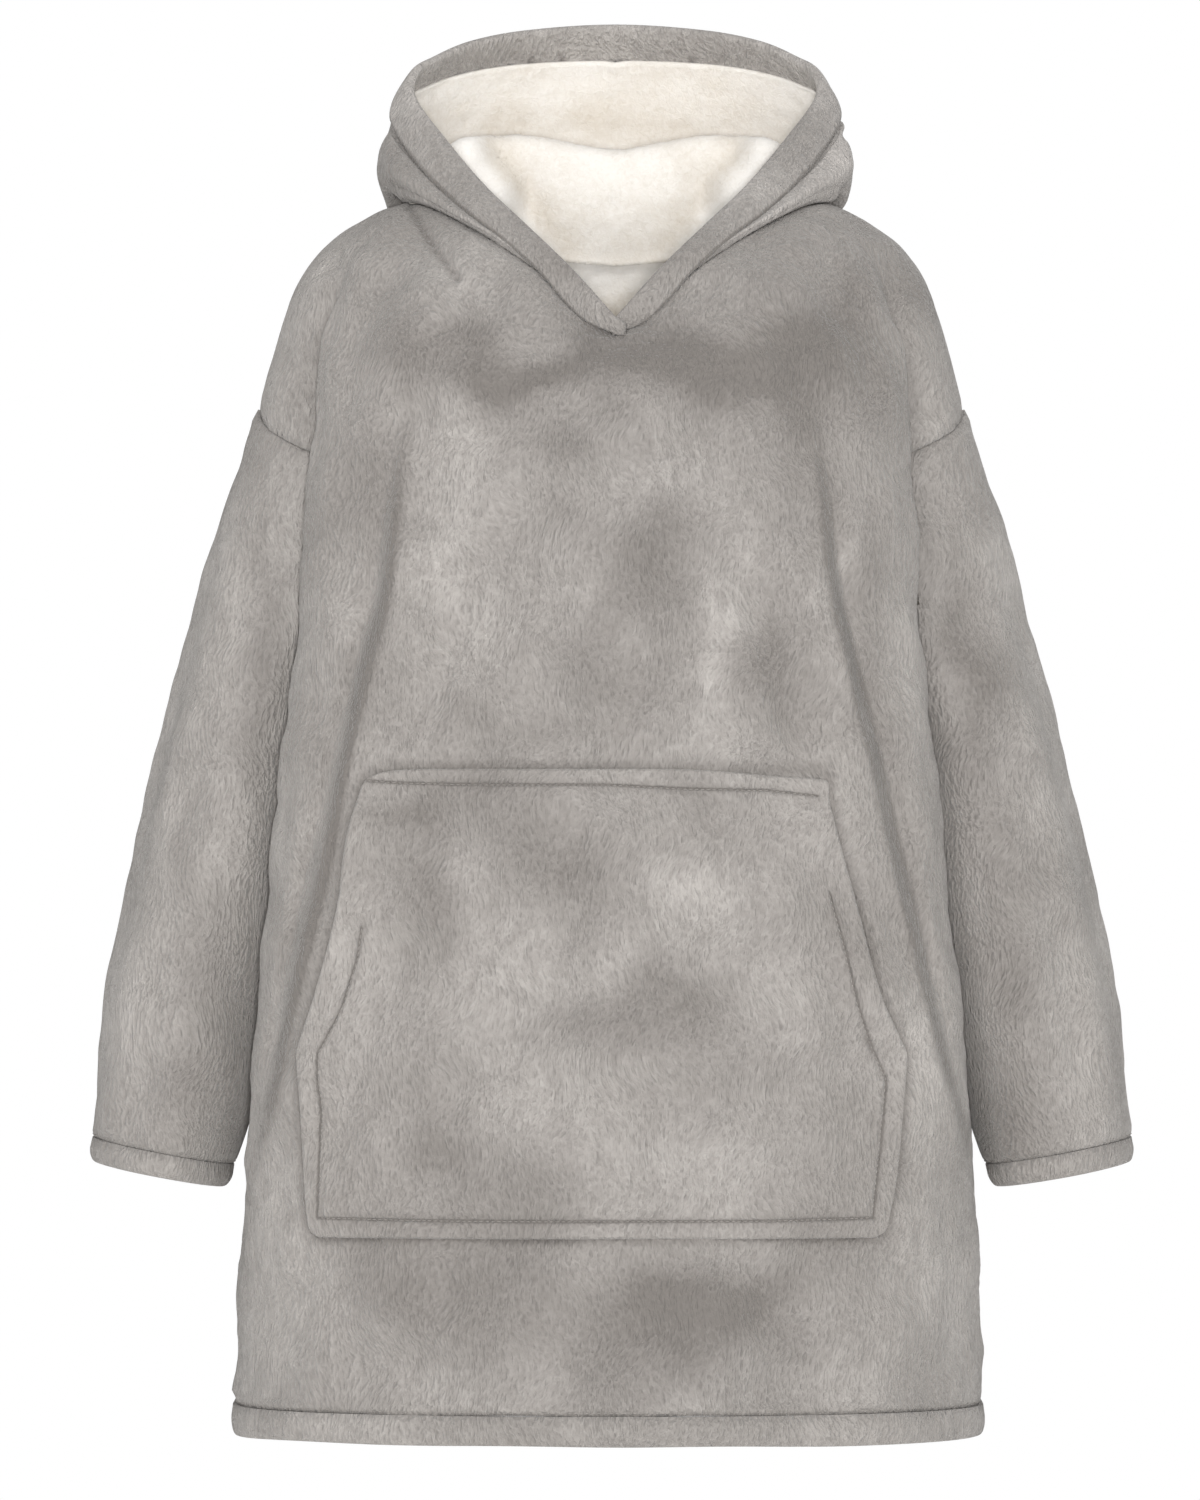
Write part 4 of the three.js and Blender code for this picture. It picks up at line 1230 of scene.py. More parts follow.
# folds down the sleeve: angle round it from its front fold, top and end heights, width in degrees, height
sleeveFolds = {
    1: tableOf(
        "turn z width height",
        ((38, 46), (-190, -520), 16, 3.2),
        ((66, 60), (-230, -640), 12, -2.4),
        ((96, 104), (-200, -420), 15, 2.4),
        ((130, 122), (-260, -690), 15, -3.0),
        ((22, 28), (-420, -690), 12, -2.8),
        ((48, 40), (-480, -700), 14, 2.6),
        ((152, 146), (-330, -640), 12, 2.4),
    ),
    -1: tableOf(
        "turn z width height",
        ((42, 50), (-200, -480), 15, 3.0),
        ((70, 66), (-250, -600), 14, -2.8),
        ((100, 96), (-220, -500), 15, 2.6),
        ((126, 130), (-280, -690), 13, -2.6),
        ((26, 22), (-380, -690), 12, -2.6),
        ((46, 52), (-520, -700), 15, 3.0),
        ((156, 150), (-360, -660), 12, 2.2),
    ),
}
sleeveNap = {
    1: tableOf(
        "at size tone",
        ((300, -260), (14, 60), 0.3),
        ((262, -330), (16, 90), -0.35),
        ((330, -470), (16, 70), 0.25),
        ((290, -560), (20, 80), -0.35),
        ((350, -620), (16, 50), 0.2),
    ),
    -1: tableOf(
        "at size tone",
        ((-290, -240), (16, 60), 0.3),
        ((-252, -330), (16, 100), -0.4),
        ((-322, -430), (20, 70), 0.25),
        ((-300, -470), (16, 40), -0.25),
        ((-286, -600), (18, 80), -0.4),
        ((-350, -560), (18, 60), 0.25),
    ),
}


def sleevePoints(z, turn):
    # turn in degrees from the front fold: 0 to 180 outside, 180 to 360 along the body
    z, turn = np.broadcast_arrays(z, turn)
    names = ("outer", "inner", "crown", "front", "back", "tilt")
    outer, inner, crown, front, back, tilt = (readTable(sleeveSections, "z", name, z) for name in names)
    angle = np.radians(turn)
    isOuter = turn <= 180
    width = np.where(isOuter, outer - crown, crown - inner)
    y = (front + back) / 2 - (back - front) / 2 * np.cos(angle)
    x = crown + width * np.sin(angle)
    x = np.where(isOuter, x, np.maximum(x, flankX(y, z) + sleeveCut["clearance"]))
    return np.stack([x, y, z + tilt * (x - crown)], -1)


def sleeveGrid():
    turns = np.concatenate([
        np.linspace(0, 180, sleeveCut["outerColumns"] + 1),
        np.linspace(180, 360, sleeveCut["innerColumns"] + 1)[1:-1],
    ])
    rows = np.linspace(bodyCut["armhole"], bodyCut["underarm"], sleeveCut["headRows"] + 1)
    share = (rows - rows[0]) / (rows[-1] - rows[0])
    heights = {name: value[:, None] for name, value in rowHeights(rows).items()}
    # the cap's form all the way down
    heights["row"] = np.minimum(heights["row"], bodyCut["underarm"] - 0.001)
    inwards = np.abs(turns / 90 - 1)[None, :]
    outside = turns <= 180
    inwards = np.where(outside[None, :], inwards, 1.0)
    z = np.where(outside[None, :], mix(heights["side"], heights["fold"], inwards), heights["side"])
    head = sleevePoints(z, turns[None, :])
    front = capPoints(heights, 1 - inwards, True)
    back = capPoints(heights, 1 - inwards, False)
    onBody = np.where((turns < 90)[None, :, None], front, back)
    proud = sleeveCut["proud"] * (1 - inwards)
    leaving = ease(share)[:, None] * ease((1 - inwards) / 0.22)
    leaving = np.where(outside[None, :], leaving, 1.0)
    leaving[-1] = 1.0
    base = onBody + np.stack([proud + 0.4, 0 * proud, 0 * proud], -1)
    head = mix(base, head, leaving[..., None])
    # the last rows of the head turn into the closed tube
    tubeZ = np.linspace(bodyRows[5]["side"], sleeveCut["cuffTop"], sleeveCut["tubeRows"] + 1)
    tube = sleevePoints(tubeZ[:, None], turns[None, :])
    closing = ease((share - 0.7) / 0.3)[:, None, None]
    full = sleevePoints(np.broadcast_to(heights["side"], head.shape[:2]), turns[None, :])
    head = mix(head, full, closing)
    return np.concatenate([head[:-1], tube]), turns


def sleeveShape(points, side):
    # as the body's own shape, and the left sleeve is a little narrower
    shaped = ownShape(points * np.array([side, 1, 1])) * np.array([side, 1, 1])
    if side < 0:
        outwards = ease((points[..., 0] - 250) / 90) * ease((-260 - points[..., 2]) / 120)
        shaped[..., 0] -= 4.0 * outwards
    return shaped


def makeSleeve(side):
    grid, turns = sleeveGrid()
    name = "right" if side > 0 else "left"
    headRows = sleeveCut["headRows"]
    rows, count = grid.shape[:2]
    normals = normalsOf(grid, True, 1)
    inHead = (np.arange(rows) < headRows)[:, None]
    weight = freeRows(rows) * np.where(inHead, ease(np.minimum(turns, 180 - turns) / 25)[None, :], 1.0)
    grid = smoothGrid(grid, True, 5, weight)
    relief = np.zeros((rows, count))
    for fold in sleeveFolds[side]:
        (top, end), (first, last) = fold["z"], fold["turn"]
        t = (top - grid[..., 2]) / (top - end)
        fade = ease(t / 0.25) * ease((1 - t) / 0.25)
        relief += fold["height"] * fade * bell(turns[None, :] - mix(first, last, t), fold["width"])
    mirror = np.array([side, 1, 1])
    grid = sleeveShape(grid, side)
    relief += layeredNoise(grid * mirror, *sleeveCut["waves"])
    outside = np.where(turns <= 180, 1.0, 0.12)[None, :]
    grid = grid + normals * (relief * weight * outside)[..., None]
    normals = normalsOf(grid, True, 1)
    fromTop = np.linalg.norm(grid - grid[:1], axis=2)
    onHead = (turns <= 180)[None, :]
    grid = seamGroove(grid, normals, np.where(onHead, fromTop, farAway), *sleeveCut["headGroove"])
    fromCuff = np.linalg.norm(grid - grid[-1:], axis=2)
    grid = seamGroove(grid, normals, fromCuff, *sleeveCut["cuffGroove"])
    kept = np.ones((rows - 1, count), bool)
    kept[:headRows, sleeveCut["outerColumns"]:] = False
    inner = grid - evenNormals(normals, True) * sleeveCut["cloth"]
    placed = grid * mirror
    tones = napTone(placed, sleeveNap[side], 50 + side)
    piece = shellPiece(f"sleeve_{name}_cloth", placed, inner * mirror, kept, True, [fleece, sherpa], tones,
                       mirrored=side < 0)
    finishPiece(piece, "fleece", f"sleeve_{name}")
    top = grid[-1] + (grid[-1] - grid[-2]) * 0.08
    bottom = sleeveShape(sleevePoints(np.full(count, float(sleeveCut["cuffEnd"])), turns), side)
    outwards = normalsOf(np.stack([top, bottom]), True, 1)[0]
    cuff = turnedEdge(f"cuff_{name}_edge", top * mirror, bottom * mirror, outwards * mirror, cuffLook,
                      cuffLook["seed"] + side, f"cuff_{name}")
    if side < 0:
        cuff.data.flip_normals()
    line, facing = seamRow(grid, normals)
    return piece, cuff, makeStitches(f"cuff_{name}_stitches", line * mirror, facing * mirror)


sleeveRight, cuffRight, cuffRightStitches = makeSleeve(1)
sleeveLeft, cuffLeft, cuffLeftStitches = makeSleeve(-1)
print("sleeves and cuffs made")


# Pocket's cloth and its rows of stitches: lines of points seen from the front, across and up
pocketStitches = {
    "top": [(-172, -419), (-150, -420.5), (-96, -422), (0, -422), (54, -425), (113, -426), (150, -430)],
    "bottom": [(-206, -731.5), (-120, -732.5), (0, -733), (120, -732.5), (189, -731)],
    "left": [(-176, -524), (-179, -546), (-189, -579), (-195, -592), (-207, -614), (-207, -632), (-204, -654),
             (-205.5, -699), (-206.5, -731)],
    "right": [(158, -500), (168.5, -538.5), (176.5, -574.5), (186, -605), (198, -632), (197.5, -639),
              (192.5, -690), (188, -731)],
}


def frontY(x, z, finer=True):
    return -panelDepth(x, z, True, False, finer)


def spaced(width, near, nearCells, cells):
    # places across a width, close together near both its ends
    width = np.asarray(width, float).reshape(-1, 1)
    edge = np.linspace(0, near, nearCells + 1)[None, :]
    middle = near + (width - 2 * near) * np.linspace(0, 1, cells + 1)[None, 1:-1]
    return np.concatenate([edge + 0 * width, middle, width - edge[:, ::-1]], 1)


def makePocket():
    height = pocketCut["top"] - pocketCut["bottom"]
    z = pocketCut["top"] - spaced(height, *pocketCut["rowSpacing"])[0]
    left = readTable(pocketSections, "z", "left", z)[:, None]
    right = readTable(pocketSections, "z", "right", z)[:, None]
    side = spaced(left + right, *pocketCut["columnSpacing"])
    x = side - left
    z = np.broadcast_to(z[:, None], x.shape).copy()
    side = np.minimum(side, left + right - side)
    edge = np.minimum(side, np.minimum(pocketCut["top"] - z, z - pocketCut["bottom"]))
    # the top edge dips a little towards both corners, as it is sewn
    topShare = ease((z - pocketCut["dipFoot"]) / pocketCut["dipFade"])
    for sign, (dip, start, reach) in ((1, pocketCut["dipRight"]), (-1, pocketCut["dipLeft"])):
        z = z - dip * topShare * ease((sign * x - start) / reach)
    flat = np.stack([x, 0 * x, z], -1)
    lift = pocketCut["stand"] + pocketCut["rise"] * ease(edge / pocketCut["riseWidth"])
    # the hand openings stand off a little more
    mouth = ease((z - pocketCut["mouthEnd"]) / 40) * ease((pocketCut["mouthTop"] - z) / 30)
    lift = lift + pocketCut["mouthRise"] * mouth * bell(side - 6, 16)
    rounded = 1 - np.clip(edge / pocketCut["roll"], 0, 1)
    lift = lift - pocketCut["roll"] * (1 - np.sqrt(1 - rounded ** 2))
    distance = np.minimum.reduce([lineDistance(x, z, line) for line in pocketStitches.values()])
    lift = lift - groove(distance, *pocketCut["stitchGroove"]) - groove(distance, *pocketCut["stitchHollow"])
    lift = lift + layeredNoise(flat, *pocketCut["waves"]) * ease(edge / 20)
    lift = lift + layeredNoise(flat, pocketCut["puckers"]) * bell(distance, 8)
    lift = lift + foldHeight(pocketCreases, x, z) * ease(edge / 16)
    plain = frontY(x, z, False)
    y = plain + pocketCut["follows"] * (frontY(x, z) - plain)
    slopeX = (frontY(x + 1, z, False) - frontY(x - 1, z, False)) / 2
    slopeZ = (frontY(x, z + 1, False) - frontY(x, z - 1, False)) / 2
    normal = np.stack([slopeX, -np.ones_like(slopeX), slopeZ], -1)
    normal /= np.linalg.norm(normal, axis=-1)[..., None]
    base = np.stack([x, y, z], -1)
    outer = base + normal * lift[..., None]
    under = base + normal * (lift - np.clip(lift - pocketCut["gap"], *pocketCut["cloth"]))[..., None]
    kept = np.ones((x.shape[0] - 1, x.shape[1] - 1), bool)
    tones = napTone(outer, frontNap, 40)
    # painted shade along the pocket's stitches
    tones = tones - groove(distance, *pocketCut["stitchShade"]) - groove(distance, *pocketCut["stitchShadeWide"])
    piece = shellPiece("pocket_cloth", outer, under, kept, False, [fleece], tones)
    return finishPiece(piece, "fleece", "pocket"), outer, normal


# finer creases of the pocket's cloth
pocketCreases = tableOf(
    "top end width height",
    ((-120, -430), (-140, -560), 16, -2.4),
    ((-70, -440), (-66, -600), 24, 2.0),
    ((20, -430), (30, -560), 30, 2.2),
    ((70, -450), (90, -620), 18, -2.2),
    ((120, -440), (150, -640), 16, 2.6),
    ((-150, -560), (-170, -720), 15, 2.2),
    ((-110, -620), (-116, -730), 12, -2.6),
    ((0, -560), (-10, -640), 26, -2.6),
    ((40, -640), (50, -735), 22, 1.8),
    ((160, -600), (170, -730), 13, -2.0),
)
pocketPiece, pocketFace, pocketNormals = makePocket()


def onPocket(line):
    # points of the pocket's face along a line seen from the front, and its normals there
    spans = []
    for start, end in zip(line, line[1:]):
        steps = max(2, int(math.dist(start, end) / 2))
        share = np.linspace(0, 1, steps, endpoint=False)[:, None]
        spans.append(mix(np.array(start, float), np.array(end, float), share))
    flat = np.concatenate(spans)
    face = pocketFace.reshape(-1, 3)
    far = np.hypot(flat[:, :1] - face[None, :, 0], flat[:, 1:] - face[None, :, 2])
    nearest = np.argpartition(far, 4, axis=1)[:, :4]
    weights = 1 / (np.take_along_axis(far, nearest, 1) + 0.2)
    weights /= weights.sum(1)[:, None]
    depth = (face[nearest, 1] * weights).sum(1)
    normals = (pocketNormals.reshape(-1, 3)[nearest] * weights[..., None]).sum(1)
    return np.stack([flat[:, 0], depth, flat[:, 1]], -1), normals


pocketThreads = [
    makeStitches(f"pocket_{name}_stitches", *onPocket(line), lift=0.2)
    for name, line in pocketStitches.items()
]
print("pocket made")


# Hood, by the angle from the front. lip is where the neck stand turns over, dip the hollow behind it, bag the
# lowest point of the crown that hangs there, swell its widest place: out from the neck, and up from its seam.
hoodSections = tableOf(
    "turn lip dip bag swell",
    (27, (0.3, 0.3), (0.6, 0.7), (0.9, 1.1), (1.2, 1.5)),
    (40, (0.7, 1.4), (1.5, 2.6), (2.4, 4), (3.2, 5.6)),
    (55, (2, 1.5), (4, 3), (6, 5), (7.5, 9)),
    (72, (4, 2.6), (7, 5.2), (9, 9), (10.5, 16)),
    (90, (5, 3), (9, 7.5), (12, 14), (15, 28)),
    (110, (4, 26), (17, 12), (27, 4), (34, 42)),
    (130, (0, 66), (20, 26), (49, -4), (63, 60)),
    (150, (-4, 79), (17, 36), (58, -5), (78, 78)),
    (180, (-4, 74), (16, 36), (58, -5), (80, 88)),
    (210, (-4, 79), (17, 36), (58, -5), (78, 78)),
)
hoodEdge = tableOf(
    "turn seam rim",
    (0, (0.6, -101, -97), (0.6, -103, -85)),
    (12, (22, -96, -87), (9, -99, -75)),
    (20, (38, -90, -71.5), (22, -91, -60)),
    (27, (53.5, -82, -53), (36, -82, -45)),
    (40, (81, -67, -28), (64, -60, -18)),
    (55, (111, -40, -4), (95, -28, 13)),
    (72, (141, -8, 27), (124, 6, 49)),
    (90, (163, 34, 62), (147, 38, 83)),
    (102, (160, 62, 79), (145.5, 56, 102.5)),
    (115, (144, 88, 91), (131, 76, 113)),
    (130, (117, 108, 101), (107, 94, 125)),
    (150, (73, 125, 109), (67, 108, 134)),
    (180, (0, 134, 112), (0, 116, 139)),
    (210, (-73, 125, 109), (-67, 108, 134)),
)
hoodCut = {
    "cloth": 2.6,
    "layerGap": 0.5,
    "frontTurn": 25,       # the hood ends here, and the band alone goes on to the centre
    "columns": 96,
    "rows": 84,
    "neckGap": 0.3,
    "tuck": 0.14,          # how far its edge is tucked into the band, as a share of the band's width
    "tipTurns": 34,        # over which the cloth grows thin towards the front
    "tipShare": 0.35,
    "stand": 0.27,         # share of the cloth from the neck seam that is the stand
    "crownGroove": (1.7, 4.5),   # depth and width over the crown, at the band and at the lip's notch
    "bandGroove": (2.2, 5),
    "lipNotch": (3.0, 4),
    "calmTurn": 66,        # nearer the front than this its normals point away from the neck
    "calmTurns": 24,
    "footRow": 3.0,        # height of each of the lining's two rows below the neck seam
    "waves": ((1.3, 48, 41), (0.5, 22, 42)),    # height, size and seed
    "pile": ((0.35, 12, 43), (0.25, 6, 44)),
    "gathers": (0.9, 9, 46),
}
standFolds = {
    "foot": -30,
    "height": 72,
    # each fold's tone is painted: shade in the groove, highlight on the roll
    "groove": {"low": 38, "top": 88, "width": 13, "depth": 11, "tone": -0.42},
    "roll": {"low": 55, "top": 110, "width": 13, "depth": -15, "tone": 0.5},
}


def edgePoint(turn, edge):
    return readTable(hoodEdge, "turn", edge, turn)


def standRelief(x, z):
    high = np.clip((z - standFolds["foot"]) / standFolds["height"], 0, 1)
    relief = 0
    for name in ("groove", "roll"):
        fold = standFolds[name]
        relief = relief + fold["depth"] * bell(np.abs(x) - mix(fold["low"], fold["top"], high), fold["width"])
    return relief


def smoothPath(path, count, startGap):
    # evenly spaced points on a smooth curve through each column's own points; path is columns by points
    first = 2 * path[:, :1] - path[:, 1:2]
    last = 2 * path[:, -1:] - path[:, -2:-1]
    full = np.concatenate([first, path, last], 1)
    pieces = []
    samples = np.linspace(0, 1, 15)[:, None, None]
    for k in range(path.shape[1] - 1):
        p0, p1, p2, p3 = (full[:, k + n] for n in range(4))
        d0, d1, d2 = (np.maximum(np.linalg.norm(b - a, axis=1), 1e-4)[:, None] ** 0.5
                      for a, b in ((p0, p1), (p1, p2), (p2, p3)))
        m1 = ((p1 - p0) / d0 - (p2 - p0) / (d0 + d1) + (p2 - p1) / d1) * d1
        m2 = ((p2 - p1) / d1 - (p3 - p1) / (d1 + d2) + (p3 - p2) / d2) * d1
        t = samples if k == path.shape[1] - 2 else samples[:-1]
        curve = (2 * t**3 - 3 * t**2 + 1) * p1 + (t**3 - 2 * t**2 + t) * m1
        curve = curve + (3 * t**2 - 2 * t**3) * p2 + (t**3 - t**2) * m2
        pieces.append(curve)
    curve = np.concatenate(pieces)
    step = np.linalg.norm(np.diff(curve, axis=0), axis=2)
    out = np.empty((count + 1, path.shape[0], 3))
    for i in range(path.shape[0]):
        along = np.concatenate([[0], np.cumsum(step[:, i])])
        want = np.linspace(startGap, along[-1], count + 1)
        for axis in range(3):
            out[:, i, axis] = np.interp(want, along, curve[:, i, axis])
    return out


def hoodPaths(turns):
    neck = neckPoint(turns)
    away = np.radians(turns)
    outDirection = np.stack([np.sin(away), -np.cos(away), 0 * away], -1)
    names = ("lip", "dip", "bag", "swell")
    lip, dip, bag, swell = (readTable(hoodSections, "turn", name, turns) for name in names)

    def at(out, up):
        place = neck + outDirection * np.asarray(out)[:, None]
        place[:, 2] += up
        return place

    tall = np.clip((lip[:, 1] - 5) / 50, 0, 1)
    path = [
        at(0 * tall, 0),
        at(lip[:, 0] * 0.5 - 9 * tall, lip[:, 1] * 0.45),
        at(lip[:, 0] * mix(0.8, 1, tall) - 3 * tall, lip[:, 1] * mix(0.75, 0.86, tall)),
        at(lip[:, 0] + 4 * tall, lip[:, 1]),
        at(mix(lip[:, 0], dip[:, 0], 0.6) + 3 * tall, mix(lip[:, 1], dip[:, 1], 0.4)),
        at(dip[:, 0], dip[:, 1]),
        at(mix(dip[:, 0], bag[:, 0], 0.45), mix(dip[:, 1], bag[:, 1], 0.75)),
        at(bag[:, 0], bag[:, 1]),
        at(mix(bag[:, 0], swell[:, 0], 0.85), mix(bag[:, 1], swell[:, 1], 0.3)),
        at(swell[:, 0], swell[:, 1]),
        edgePoint(turns, "seam"),
        mix(edgePoint(turns, "seam"), edgePoint(turns, "rim"), hoodCut["tuck"]),
    ]
    for p in path[1:4]:
        p[:, 1] += standRelief(p[:, 0], p[:, 2]) * tall
    return np.stack(path, 1)


def hoodGrid():
    # from the neck seam to the band, over the whole hood, the left half first
    turns = np.linspace(hoodCut["frontTurn"], 180, hoodCut["columns"] + 1)
    half = smoothPath(hoodPaths(turns), hoodCut["rows"], hoodCut["neckGap"])
    left = half * np.array([-1, 1, 1])
    grid = np.concatenate([left, half[:, :-1][:, ::-1]], 1) + np.array([bodyCut["neckShift"], 0, 0])
    allTurns = np.concatenate([-turns, turns[:-1][::-1]])
    return grid, allTurns


# soft creases of the crown's outside: side, angle from and to, place along the cloth from neck to band
hoodCreases = tableOf(
    "side turn row width depth",
    (-1, (44, 122), (0.85, 0.9), 0.02, 5.0),
    (-1, (36, 78), (0.62, 0.76), 0.05, 2.4),
    (1, (50, 118), (0.84, 0.89), 0.02, 4.5),
    (1, (84, 132), (0.74, 0.66), 0.04, 3.0),
    (1, (36, 60), (0.55, 0.75), 0.05, 2.4),
    (1, (120, 176), (0.62, 0.7), 0.05, -2.4),
    (-1, (118, 170), (0.66, 0.6), 0.05, 3.0),
    (-1, (130, 178), (0.82, 0.84), 0.04, 2.0),
    (1, (134, 172), (0.8, 0.86), 0.04, 2.2),
)
hoodNap = tableOf(
    "at size tone",
    ((170, 70), (40, 50), 0.5),
    ((120, 10), (36, 30), 0.3),
    ((-170, 40), (24, 40), -0.25),
)
bandNap = tableOf(
    "at size tone",
    ((0, 125), (130, 26), 0.4),
    ((-140, 90), (20, 26), 0.3),
    ((-80, 10), (26, 22), 0.25),
    ((-30, -50), (20, 22), -0.3),
    ((150, 90), (20, 26), 0.35),
    ((90, 10), (26, 22), 0.3),
    ((46, -40), (20, 22), -0.2),
)


def hoodSurface():
    grid, turns = hoodGrid()
    grid = smoothGrid(grid, False, 4, freeRows(len(grid)))
    normals = evenNormals(normalsOf(grid, False, 1), False, 10)
    away = np.radians(turns)
    fromNeck = np.stack([np.sin(away), -np.cos(away), 0.25 + 0 * away], -1)[None]
    calm = ease((hoodCut["calmTurn"] - np.abs(turns)) / hoodCut["calmTurns"])
    normals = mix(normals, fromNeck, calm[None, :, None])
    normals /= np.linalg.norm(normals, axis=2)[..., None]
    return grid, normals, turns


def hoodRelief(grid, turns, along, fromCentre, fromBand):
    # creases, waves and seams of the hood's cloth; along runs from 0 at the neck seam to 1 at the band
    relief = np.zeros(grid.shape[:2])
    for crease in hoodCreases:
        (first, last), (start, end) = crease["turn"], crease["row"]
        t = (turns * crease["side"] - first) / (last - first)
        fade = ease(t / 0.3) * ease((1 - t) / 0.3)
        relief -= crease["depth"] * fade[None, :] * bell(along - mix(start, end, t)[None, :], crease["width"])
    height = np.linalg.norm(np.diff(grid, axis=0), axis=2).sum(0)
    relief += layeredNoise(grid, *hoodCut["waves"])
    relief *= ease((height - 30) / 60)[None, :] * ease(along / 0.1) * ease((1 - along) / 0.08)
    relief -= groove(fromCentre, *hoodCut["crownGroove"]) * ease((along - 0.3) / 0.1)
    relief -= groove(fromBand, *hoodCut["bandGroove"]) * ease((height - 25) / 40)[None, :]
    relief -= groove(fromCentre, *hoodCut["lipNotch"]) * bell(along - hoodCut["stand"], 0.035)
    # small gathers where the hood is eased into the band beside the neck
    gathers = layeredNoise(grid * np.array([1, 1, 0.6]), hoodCut["gathers"])
    nearNeck = bell(np.abs(turns) - 42, 14)[None, :]
    return relief + gathers * nearNeck * bell(along - 0.8, 0.25) * ease((1 - along) / 0.1)


def liningShadeAndHighlight(x, z, onStand):
    # painted shade in the recess behind the stand and in its grooves, painted highlight on its rolls
    high = np.clip((z - standFolds["foot"]) / standFolds["height"], 0, 1)
    recessShade = -0.08 - 0.4 * bell(z - 62, 30) * bell(x, 95)
    tones = np.where(onStand, -0.16, recessShade)
    for name in ("groove", "roll"):
        fold = standFolds[name]
        beside = np.abs(x) - mix(fold["low"], fold["top"], high)
        tones = tones + fold["tone"] * bell(beside, fold["width"]) * onStand
    return tones


def makeLining(grid, outer, normals, relief, thin, turns, along, fromCentre):
    # deeper pile, which follows the hood but for its creases
    pile = layeredNoise(grid, *hoodCut["pile"])
    liningRelief = np.minimum(relief, 0) * bell(fromCentre, 6)
    layerDepth = (hoodCut["cloth"] + hoodCut["layerGap"]) * thin
    face = outer - normals * ((relief - liningRelief)[..., None] + layerDepth)
    pileFace = face - normals * ((hoodCut["cloth"] * thin[..., 0] + pile * thin[..., 0])[..., None])
    # its foot laps over the body's own lining
    behind = ease((np.abs(turns) - 60) / 40)[None, :, None]
    foot = np.arange(2, 0, -1)[:, None, None] * np.array([0, 0, -hoodCut["footRow"]]) * behind
    face = np.concatenate([face[:1] + foot, face])
    pileFace = np.concatenate([pileFace[:1] + foot, pileFace])
    kept = np.ones((face.shape[0] - 1, face.shape[1] - 1), bool)
    onStand = np.concatenate([np.full(2, True), along[:, 0] < hoodCut["stand"]])[:, None]
    tones = liningShadeAndHighlight(pileFace[..., 0] - bodyCut["neckShift"], pileFace[..., 2], onStand)
    lining = shellPiece("hood_lining_pile", face, pileFace, kept, False, [sherpa], tones)
    return finishPiece(lining, "sherpa", "hood_lining")


def makeHood():
    grid, normals, turns = hoodSurface()
    rows, count = grid.shape[:2]
    along = np.linspace(0, 1, rows)[:, None]
    fromCentre = np.abs(grid[..., 0] - bodyCut["neckShift"])
    bandSeam = edgePoint(np.abs(turns), "seam")
    bandSeam[:, 0] = bandSeam[:, 0] * np.sign(turns) + bodyCut["neckShift"]
    fromBand = np.linalg.norm(grid - bandSeam[None], axis=2)
    relief = hoodRelief(grid, turns, along, fromCentre, fromBand)
    outer = grid + normals * relief[..., None]
    pastTip = ease((np.abs(turns) - hoodCut["frontTurn"]) / hoodCut["tipTurns"])
    thin = mix(hoodCut["tipShare"], 1, pastTip)[None, :, None]
    inner = grid - normals * hoodCut["cloth"] * thin
    # painted shade along the hood's seam with the band
    tones = napTone(outer, hoodNap, 45) - 0.9 * bell(fromBand, 2.6)
    isLeft = np.arange(count - 1) < hoodCut["columns"]
    pieces = []
    for name, columns in (("right", ~isLeft), ("left", isLeft)):
        kept = np.broadcast_to(columns, (rows - 1, count - 1))
        piece = shellPiece(f"hood_{name}_shell", outer, inner, kept, False, [fleece], tones)
        pieces.append(finishPiece(piece, "fleece", f"hood_{name}"))
    return pieces, makeLining(grid, outer, normals, relief, thin, turns, along, fromCentre)


hoodPieces, liningPiece = makeHood()
print("hood made")


# Band: a folded casing from the V up both sides and over behind
bandCut = {
    "columns": 170,
    "profile": 30,
    "thick": 9.5,
    "overlap": (9, 4),      # how far the left and right ends run on past the V's point
    "proud": (3.0, 0.0),    # how far each stands off there: the left end lies on top
    "foot": -98.5,          # the neck seam cuts both ends off here
    "crossTurns": 16,
    "waves": ((0.5, 24, 51), (0.35, 11, 52)),   # height, size and seed
    "pleats": (-57, -34, 62),   # little pleats in its seam behind, across the garment
}


